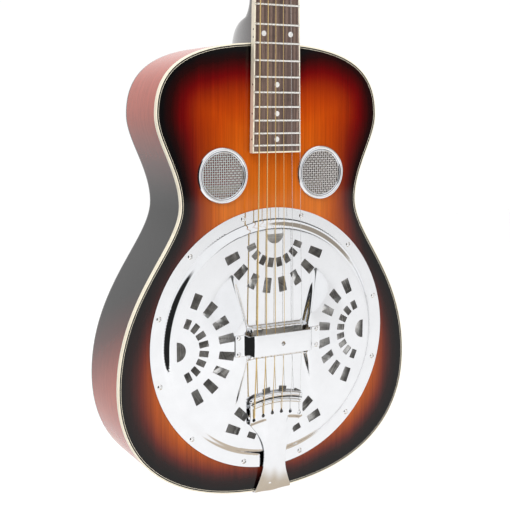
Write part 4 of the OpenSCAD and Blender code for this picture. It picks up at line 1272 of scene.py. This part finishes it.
def string_material(k):
    """Plain steel for the two thinnest strings, wound bronze for the others."""
    return PLAIN_STRING if k < 3 else WOUND


def make_string(k):
    """One string as a round wire along its path."""
    slot = "steel_string" if k < 3 else "bronze_string"
    add_piece(f"string_wire_{k}", *tube_mesh(string_path(k), STRING_R[k - 1], 12),
              string_material(k), node=f"string_{k}", slot=slot, smooth=60)


for number in range(1, 7):
    make_string(number)

# ---------------------------------------------------------------- neck and headstock

BOARD_UNDER_H = 2.7
NUT_HALF = 22.5
BOARD_TAPER = 0.0314
HEEL_HALF = 26.0
HEEL_CAP_HALF = 15.0
HEEL_LEN = 26.0
HEEL_BACK_Y = BACK_HIGH.y - 2.0
HEAD_HALF = 32.0
HEAD_LEN = 176.0
HEAD_THICK = 16.6
VENEER = 1.6
SLOT_MIDDLE = 15.0
SLOT_HALF = 8.5
SLOT_LOW = 17.0
SLOT_HIGH = 146.0


def neck_back_y(z):
    """The back of the shaft, then the heel's curve, for heights z going down the neck."""
    up = z - TOP_Z
    curve = np.vstack([
        bezier([(60, 1.6), (42, 2.6), (31, 8), (HEEL_LEN + 0.6, 22)], np.linspace(0, 1, 24)),
        bezier([(HEEL_LEN + 0.6, 22), (HEEL_LEN - 1, 44), (HEEL_LEN - 6, HEEL_BACK_Y - 4),
                (0, HEEL_BACK_Y)], np.linspace(0, 1, 24))[1:]])[::-1]
    heel = np.interp(up, curve[:, 0], curve[:, 1])
    shaft = np.interp(up, [60, 320], [1.6, 0.0])
    return np.where(up < 60, heel, shaft)


def neck_loft():
    """The shaft and heel as one lofted skin under the fretboard."""
    heel_rows = TOP_Z + np.concatenate([np.linspace(-0.5, 20, 12), np.linspace(21.5, 36, 18),
                                        np.linspace(39, 60, 8)])
    rows = np.concatenate([heel_rows, np.linspace(TOP_Z + 75, NUT_THICK, 14)])
    under = front(BOARD_UNDER_H)
    angles = np.linspace(0, math.pi, 33)
    points = []
    for z in rows:
        back = float(neck_back_y(np.array([z]))[0])
        heel = float(ease((TOP_Z + 42 - z) / 18))
        half = NUT_HALF - z * BOARD_TAPER / 2
        power = 1.0 - 0.38 * heel
        c = np.sign(np.cos(angles)) * np.abs(np.cos(angles)) ** power
        y = under + 1.2 + (back - under - 1.2) * np.sin(angles) ** power
        down = np.clip((y - under) / (HEEL_BACK_Y - under), 0, 1)
        narrow = half * (1 - heel) + heel * (HEEL_HALF + (HEEL_CAP_HALF - HEEL_HALF) * down ** 1.3)
        ring = np.column_stack([narrow * c, y, np.full(len(y), z)])
        cap = narrow[0]
        points += [(cap, under, z), *map(tuple, ring), (-cap, under, z)]
    count = len(angles) + 2
    faces = ring_faces(len(rows), count)
    faces += [cap[::-1] for cap in end_caps(len(rows), count)]
    return points, faces


def head_region(low):
    """Outline of the headstock with its two string slots, in its own x and s."""
    t = np.linspace(0, 1, 14)
    n = NUT_HALF
    w = HEAD_HALF
    right = np.vstack([
        [(n, low)], bezier([(n, low + 1), (n, 12), (w, 10), (w, 26)], t),
        np.column_stack([np.full(24, w), np.linspace(31, 147, 24)]),
        bezier([(w, 152), (w, 166), (w - 14, 160), (14, HEAD_LEN - 6)], t),
        bezier([(14, HEAD_LEN - 6), (9, HEAD_LEN - 2), (5, HEAD_LEN), (0, HEAD_LEN)], t[:8])[1:-1],
    ])
    base = np.column_stack([np.linspace(-n, n, 10)[1:-1], np.full(8, low)])
    outer = np.vstack([right, [(0, HEAD_LEN)], right[::-1] * (-1, 1), base])
    holes = []
    for side in (-1, 1):
        turn = np.linspace(0, math.pi, 17)
        upper = np.column_stack([SLOT_HALF * np.cos(turn),
                                 SLOT_HIGH - SLOT_HALF + SLOT_HALF * np.sin(turn)])
        lower = np.column_stack([-SLOT_HALF * np.cos(turn),
                                 SLOT_LOW + SLOT_HALF - SLOT_HALF * np.sin(turn)])
        wall = np.linspace(SLOT_HIGH - SLOT_HALF, SLOT_LOW + SLOT_HALF, 22)[1:-1]
        left = np.column_stack([np.full(20, -SLOT_HALF), wall])
        slot = np.vstack([upper, left, lower, left[::-1] * (-1, 1)])
        holes.append(slot + (side * SLOT_MIDDLE, 0))
    return flat_mesh(outer, holes, 6.0)


def head_slab(name, low, shallow, deep, material, round_by, **options):
    """One layer of the headstock, from its lower edge up and between two depths."""
    def place(points, depth):
        y = shallow + depth * (deep - shallow)
        return np.array([on_head(x, y, at) for x, at in points])

    obj = sheet_piece(name, head_region(low), place, material, **options)
    bevel(obj, round_by, 3)


def make_neck():
    """The neck with its heel, the headstock and its dark face."""
    add_piece("neck_shaft_and_heel", *neck_loft(), NECK, node="neck", slot="neck_wood", smooth=40)
    head_slab("headstock_wood", 0.5, VENEER, HEAD_THICK, NECK, 1.6, slot="neck_wood")
    head_slab("headstock_face", 0.2, 0.0, VENEER, BLACK, 0.5, node="headstock_veneer",
              slot="black_plastic")


make_neck()

# ---------------------------------------------------------------- tuning machines

PLATE_THICK = 1.2
PLATE_Y0 = 2.6
PLATE_W = 13.0
GEAR_X = HEAD_HALF + PLATE_THICK + 0.5
GEAR_W = 4.2
GEAR_R = 6.2
GEAR_TEETH = 14
WORM_R = 2.3
WORM_X = GEAR_X + GEAR_W / 2
WORM_OFFSET = GEAR_R + WORM_R + 0.3
KEY_R = 1.6
KEY_STOP_Y = PLATE_Y0 + PLATE_W + 0.3
BUTTON_Y = 22.0
WORM_TURNS = 5
COIL_TURNS = 4


def worm(place):
    """The key's shaft with its stop collar, and the thread round it."""
    shaft = [(KEY_R * 0.7, PLATE_Y0 - 0.6), (KEY_R, PLATE_Y0 - 0.2), (KEY_R, KEY_STOP_Y),
             (2.6, KEY_STOP_Y), (3.0, KEY_STOP_Y + 0.5), (3.0, KEY_STOP_Y + 1.7),
             (2.4, KEY_STOP_Y + 2.3), (1.9, KEY_STOP_Y + 2.6), (1.7, BUTTON_Y - 0.5),
             (2.4, BUTTON_Y + 1.5), (2.4, BUTTON_Y + 4)]
    t = np.linspace(0, WORM_TURNS, WORM_TURNS * 20 + 1)
    fade = np.clip(np.minimum(t, WORM_TURNS - t) * 4, 0.2, 1)
    low = PLATE_Y0 + 2.4
    high = PLATE_Y0 + PLATE_W - 2.4
    r = WORM_R - 0.5
    thread = [place(r * math.cos(2 * math.pi * v), r * math.sin(2 * math.pi * v),
                    low + (high - low) * v / WORM_TURNS) for v in t]
    return join_meshes([revolve(shaft, place), tube_mesh(thread, 0.45 * fade, 8)])


def key_button(place):
    """A flat oval button with rounded edges."""
    rows = 20
    count = 36
    points = []
    for i in range(rows + 1):
        v = math.pi * i / rows - math.pi / 2
        thick = 3.0 * abs(math.sin(v)) ** 0.55 * (1 if v > 0 else -1)
        wide = abs(math.cos(v)) ** 0.45
        for c, s in circle(0, 0, 1, count):
            points.append(place(thick, 10.5 * wide * s, BUTTON_Y + 8.5 + 7.5 * wide * c))
    return points, ring_faces(rows + 1, count)


def make_key(k):
    """A worm and its button, on the body that turns them."""
    side = string_side(k)
    at_s = string_s(k) + WORM_OFFSET

    def place(a, b, d):
        return on_head(side * WORM_X + a, d, at_s + b)

    add_piece(f"key_worm_{k}", *worm(place), CHROME, body=f"key_{k}", node=f"tuner_key_{k}",
              slot="chrome", smooth=40)
    add_piece(f"key_button_{k}", *key_button(place), CHROME, body=f"key_{k}", slot="chrome",
              smooth=60)


def gear(place):
    """A toothed wheel, as (points, faces)."""
    root = GEAR_R - 1.1
    teeth = []
    for i in range(GEAR_TEETH):
        for part, radius in ((0.0, root), (0.28, root), (0.40, GEAR_R), (0.60, GEAR_R),
                             (0.72, root)):
            a = 2 * math.pi * (i + part) / GEAR_TEETH
            teeth.append((radius * math.cos(a), radius * math.sin(a)))
    count = len(teeth)
    points = [place(a, b, d) for d in (GEAR_X, GEAR_X + GEAR_W) for a, b in teeth]
    return points, ring_faces(2, count) + end_caps(2, count)


def make_post(k):
    """Post, toothed gear with its screw, and the string wound round the post."""
    side = string_side(k)
    at_s = string_s(k)

    def place(a, b, d):
        return on_head(side * d, POST_Y + a, at_s + b)

    end = GEAR_X + GEAR_W
    rod = [(2.6, 3.7), (3.0, 4.1), (3.0, end - 0.4)]
    cap = [(2.4, end - 0.2), (2.4, end + 0.9), (1.9, end + 1.2)]
    wheel = join_meshes([revolve(rod, place), revolve(cap, place), gear(place)])
    add_piece(f"post_and_gear_{k}", *wheel, SCREW_CHROME, body=f"post_{k}",
              node=f"string_post_{k}", slot="screw_metal", smooth=35)
    r = STRING_R[k - 1]
    t = np.linspace(0, COIL_TURNS, COIL_TURNS * 24 + 1)
    coil = [place(-(3.0 + r) * math.cos(2 * math.pi * v), (3.0 + r) * math.sin(2 * math.pi * v),
                  WRAP_X[k - 1] - 2.05 * r * v) for v in t]
    add_piece(f"string_coil_{k}", *tube_mesh(coil, r, 8), string_material(k), body=f"post_{k}",
              slot="screw_metal", smooth=60)


for number in range(1, 7):
    make_key(number)
    make_post(number)

# ---------------------------------------------------------------- plain materials on CAD nodes

NODE_MATERIALS = {
    "linings": SPRUCE, "neck_block": SPRUCE, "tail_block": SPRUCE, "soundwell": SPRUCE,
    "braces": SPRUCE, "cone": SPUN, "spider": CAST, "saddle": MAPLE,
    "tension_screw": SCREW_CHROME, "tailpiece_felt": FELT, "tail_screws": SCREW_CHROME,
    "heel_cap": CREAM, "neck_bolts": STEEL, "fretboard": ROSEWOOD, "fretboard_binding": CREAM,
    "frets": NICKEL, "position_dots": PEARL, "side_dots": BLACK, "nut": BONE,
    "truss_rod": STEEL, "truss_rod_cover": PEARL, "headstock_screws": SCREW_CHROME,
    "bass_tuner_plate": CHROME, "treble_tuner_plate": CHROME,
}
for node_name, material in NODE_MATERIALS.items():
    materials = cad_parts[node_name].data.materials
    materials.clear()
    materials.append(material)

# ---------------------------------------------------------------- floor, world and lights

FLOOR_Z = END_Z - 250
FLOOR_R = 5000
FLOOR_MIDDLE = (4200, -1000)


def make_floor():
    """White paper, with a warm, darker patch painted under the guitar as its shade and warm bounce
    light, which only reflections meet.
    """
    count = 96
    mesh = bpy.data.meshes.new("floor")
    mesh.from_pydata([(x * MM, y * MM, FLOOR_Z * MM)
                      for x, y in circle(*FLOOR_MIDDLE, FLOOR_R, count)], [], [tuple(range(count))])
    floor = bpy.data.objects.new("floor", mesh)
    bpy.context.scene.collection.objects.link(floor)
    n = Nodes("floor_paper_and_painted_bounce")
    paper = n.ramp(n.noise((1, 1, 1), 0.004, 3),
                   [(0.3, (0.90, 0.90, 0.90)), (0.7, (0.93, 0.93, 0.93))])
    # painted shade and warm bounce light: a dark warm disc round this spot, hidden from the camera
    painted_bounce_gap = n.add("ShaderNodeVectorMath", n.position(), (130, -160, FLOOR_Z), operation="DISTANCE")
    seen = n.add("ShaderNodeLightPath").outputs["Is Camera Ray"]
    plain = n.math("MAXIMUM", seen, n.remap(painted_bounce_gap.outputs["Value"], 215, 250))
    n.set(Base_Color=n.mix(plain, (0.50, 0.41, 0.30), paper), Roughness=0.9,
          Emission_Strength=0.12, Emission_Color=(1, 1, 1))
    mesh.materials.append(n.material)


class Sky(Tree):
    """The studio walls as the guitar's own surfaces meet them; the camera sees plain white."""

    def __init__(self):
        world = bpy.data.worlds.new("studio")
        world.use_nodes = True
        super().__init__(world.node_tree)
        self.background = self.tree.nodes["Background"]
        self.way = self.add("ShaderNodeTexCoord").outputs["Generated"]
        self.level = 1.15
        bpy.context.scene.world = world

    def towards(self, azimuth, elevation=0):
        """Cosine of the angle between a ray and a direction. Azimuth 0 is in front of the
        guitar and 90 on its treble side."""
        a, e = math.radians(azimuth), math.radians(elevation)
        centre = (math.sin(a) * math.cos(e), -math.cos(a) * math.cos(e), math.sin(e))
        return self.add("ShaderNodeVectorMath", self.way, centre,
                        operation="DOT_PRODUCT").outputs["Value"]

    def smooth(self, value, low, high, to_low, to_high):
        return self.remap(value, low, high, to_low, to_high, "SMOOTHSTEP")

    def patch(self, azimuth, elevation, radius, soft, value):
        """A round patch of the studio that is darker or brighter than the rest."""
        outer = math.cos(math.radians(radius + soft))
        inner = math.cos(math.radians(radius - soft))
        factor = self.smooth(self.towards(azimuth, elevation), outer, inner, 1.0, value)
        self.level = self.math("MULTIPLY", self.level, factor)
        return factor

    def band(self, low, high, soft, azimuth, half_width, value):
        """A dark strip between two heights (sines of elevation), to both sides of an azimuth."""
        height = self.add("ShaderNodeSeparateXYZ", self.way).outputs["Z"]
        above = self.smooth(height, low - soft, low + soft, 0, 1)
        below = self.smooth(height, high - soft, high + soft, 1, 0)
        beside = self.smooth(self.towards(azimuth), math.cos(math.radians(half_width + 2)),
                             math.cos(math.radians(half_width)), 0, 1)
        within = self.math("MULTIPLY", self.math("MULTIPLY", above, below), beside)
        factor = self.math("SUBTRACT", 1.0, self.math("MULTIPLY", within, 1 - value))
        self.level = self.math("MULTIPLY", self.level, factor)

    def finish(self, warm_where):
        """Hands the studio to the background, warm in colour where warm_where is low."""
        seen = self.add("ShaderNodeLightPath").outputs["Is Camera Ray"]
        rest = self.math("SUBTRACT", 1.0, seen)
        strength = self.math("ADD", self.math("MULTIPLY", self.level, rest),
                             self.math("MULTIPLY", seen, 1.02))
        self.link(strength, self.background.inputs["Strength"])
        warmth = self.mix(warm_where, (1.0, 0.80, 0.55), (1, 1, 1))
        self.link(warmth, self.background.inputs["Color"])


def make_world():
    """Dark patches to the bass side and high on the treble side, and a low dark strip."""
    sky = Sky()
    sky.patch(-72, 0, 46, 4, 0.02)
    treble_patch = sky.patch(80, 36, 26, 3, 0.36)
    sky.band(-0.5, 0.075, 0.02, 29.5, 7.5, 0.12)
    sky.finish(treble_patch)


def add_light(name, place, size, power):
    """A soft box at a place in metres, aimed at the body."""
    data = bpy.data.lights.new(name, "AREA")
    data.shape = "RECTANGLE"
    data.size, data.size_y = size
    data.energy = power
    light = bpy.data.objects.new(name, data)
    light.location = place
    light.visible_glossy = False
    aim = Vector((0, 0, -0.55)) - Vector(place)
    light.rotation_euler = aim.to_track_quat("-Z", "Y").to_euler()
    bpy.context.scene.collection.objects.link(light)


make_floor()
make_world()
add_light("key", (-1.6, -1.6, 2.2), (1.6, 1.6), 60)
bpy.context.scene.view_settings.view_transform = "Standard"
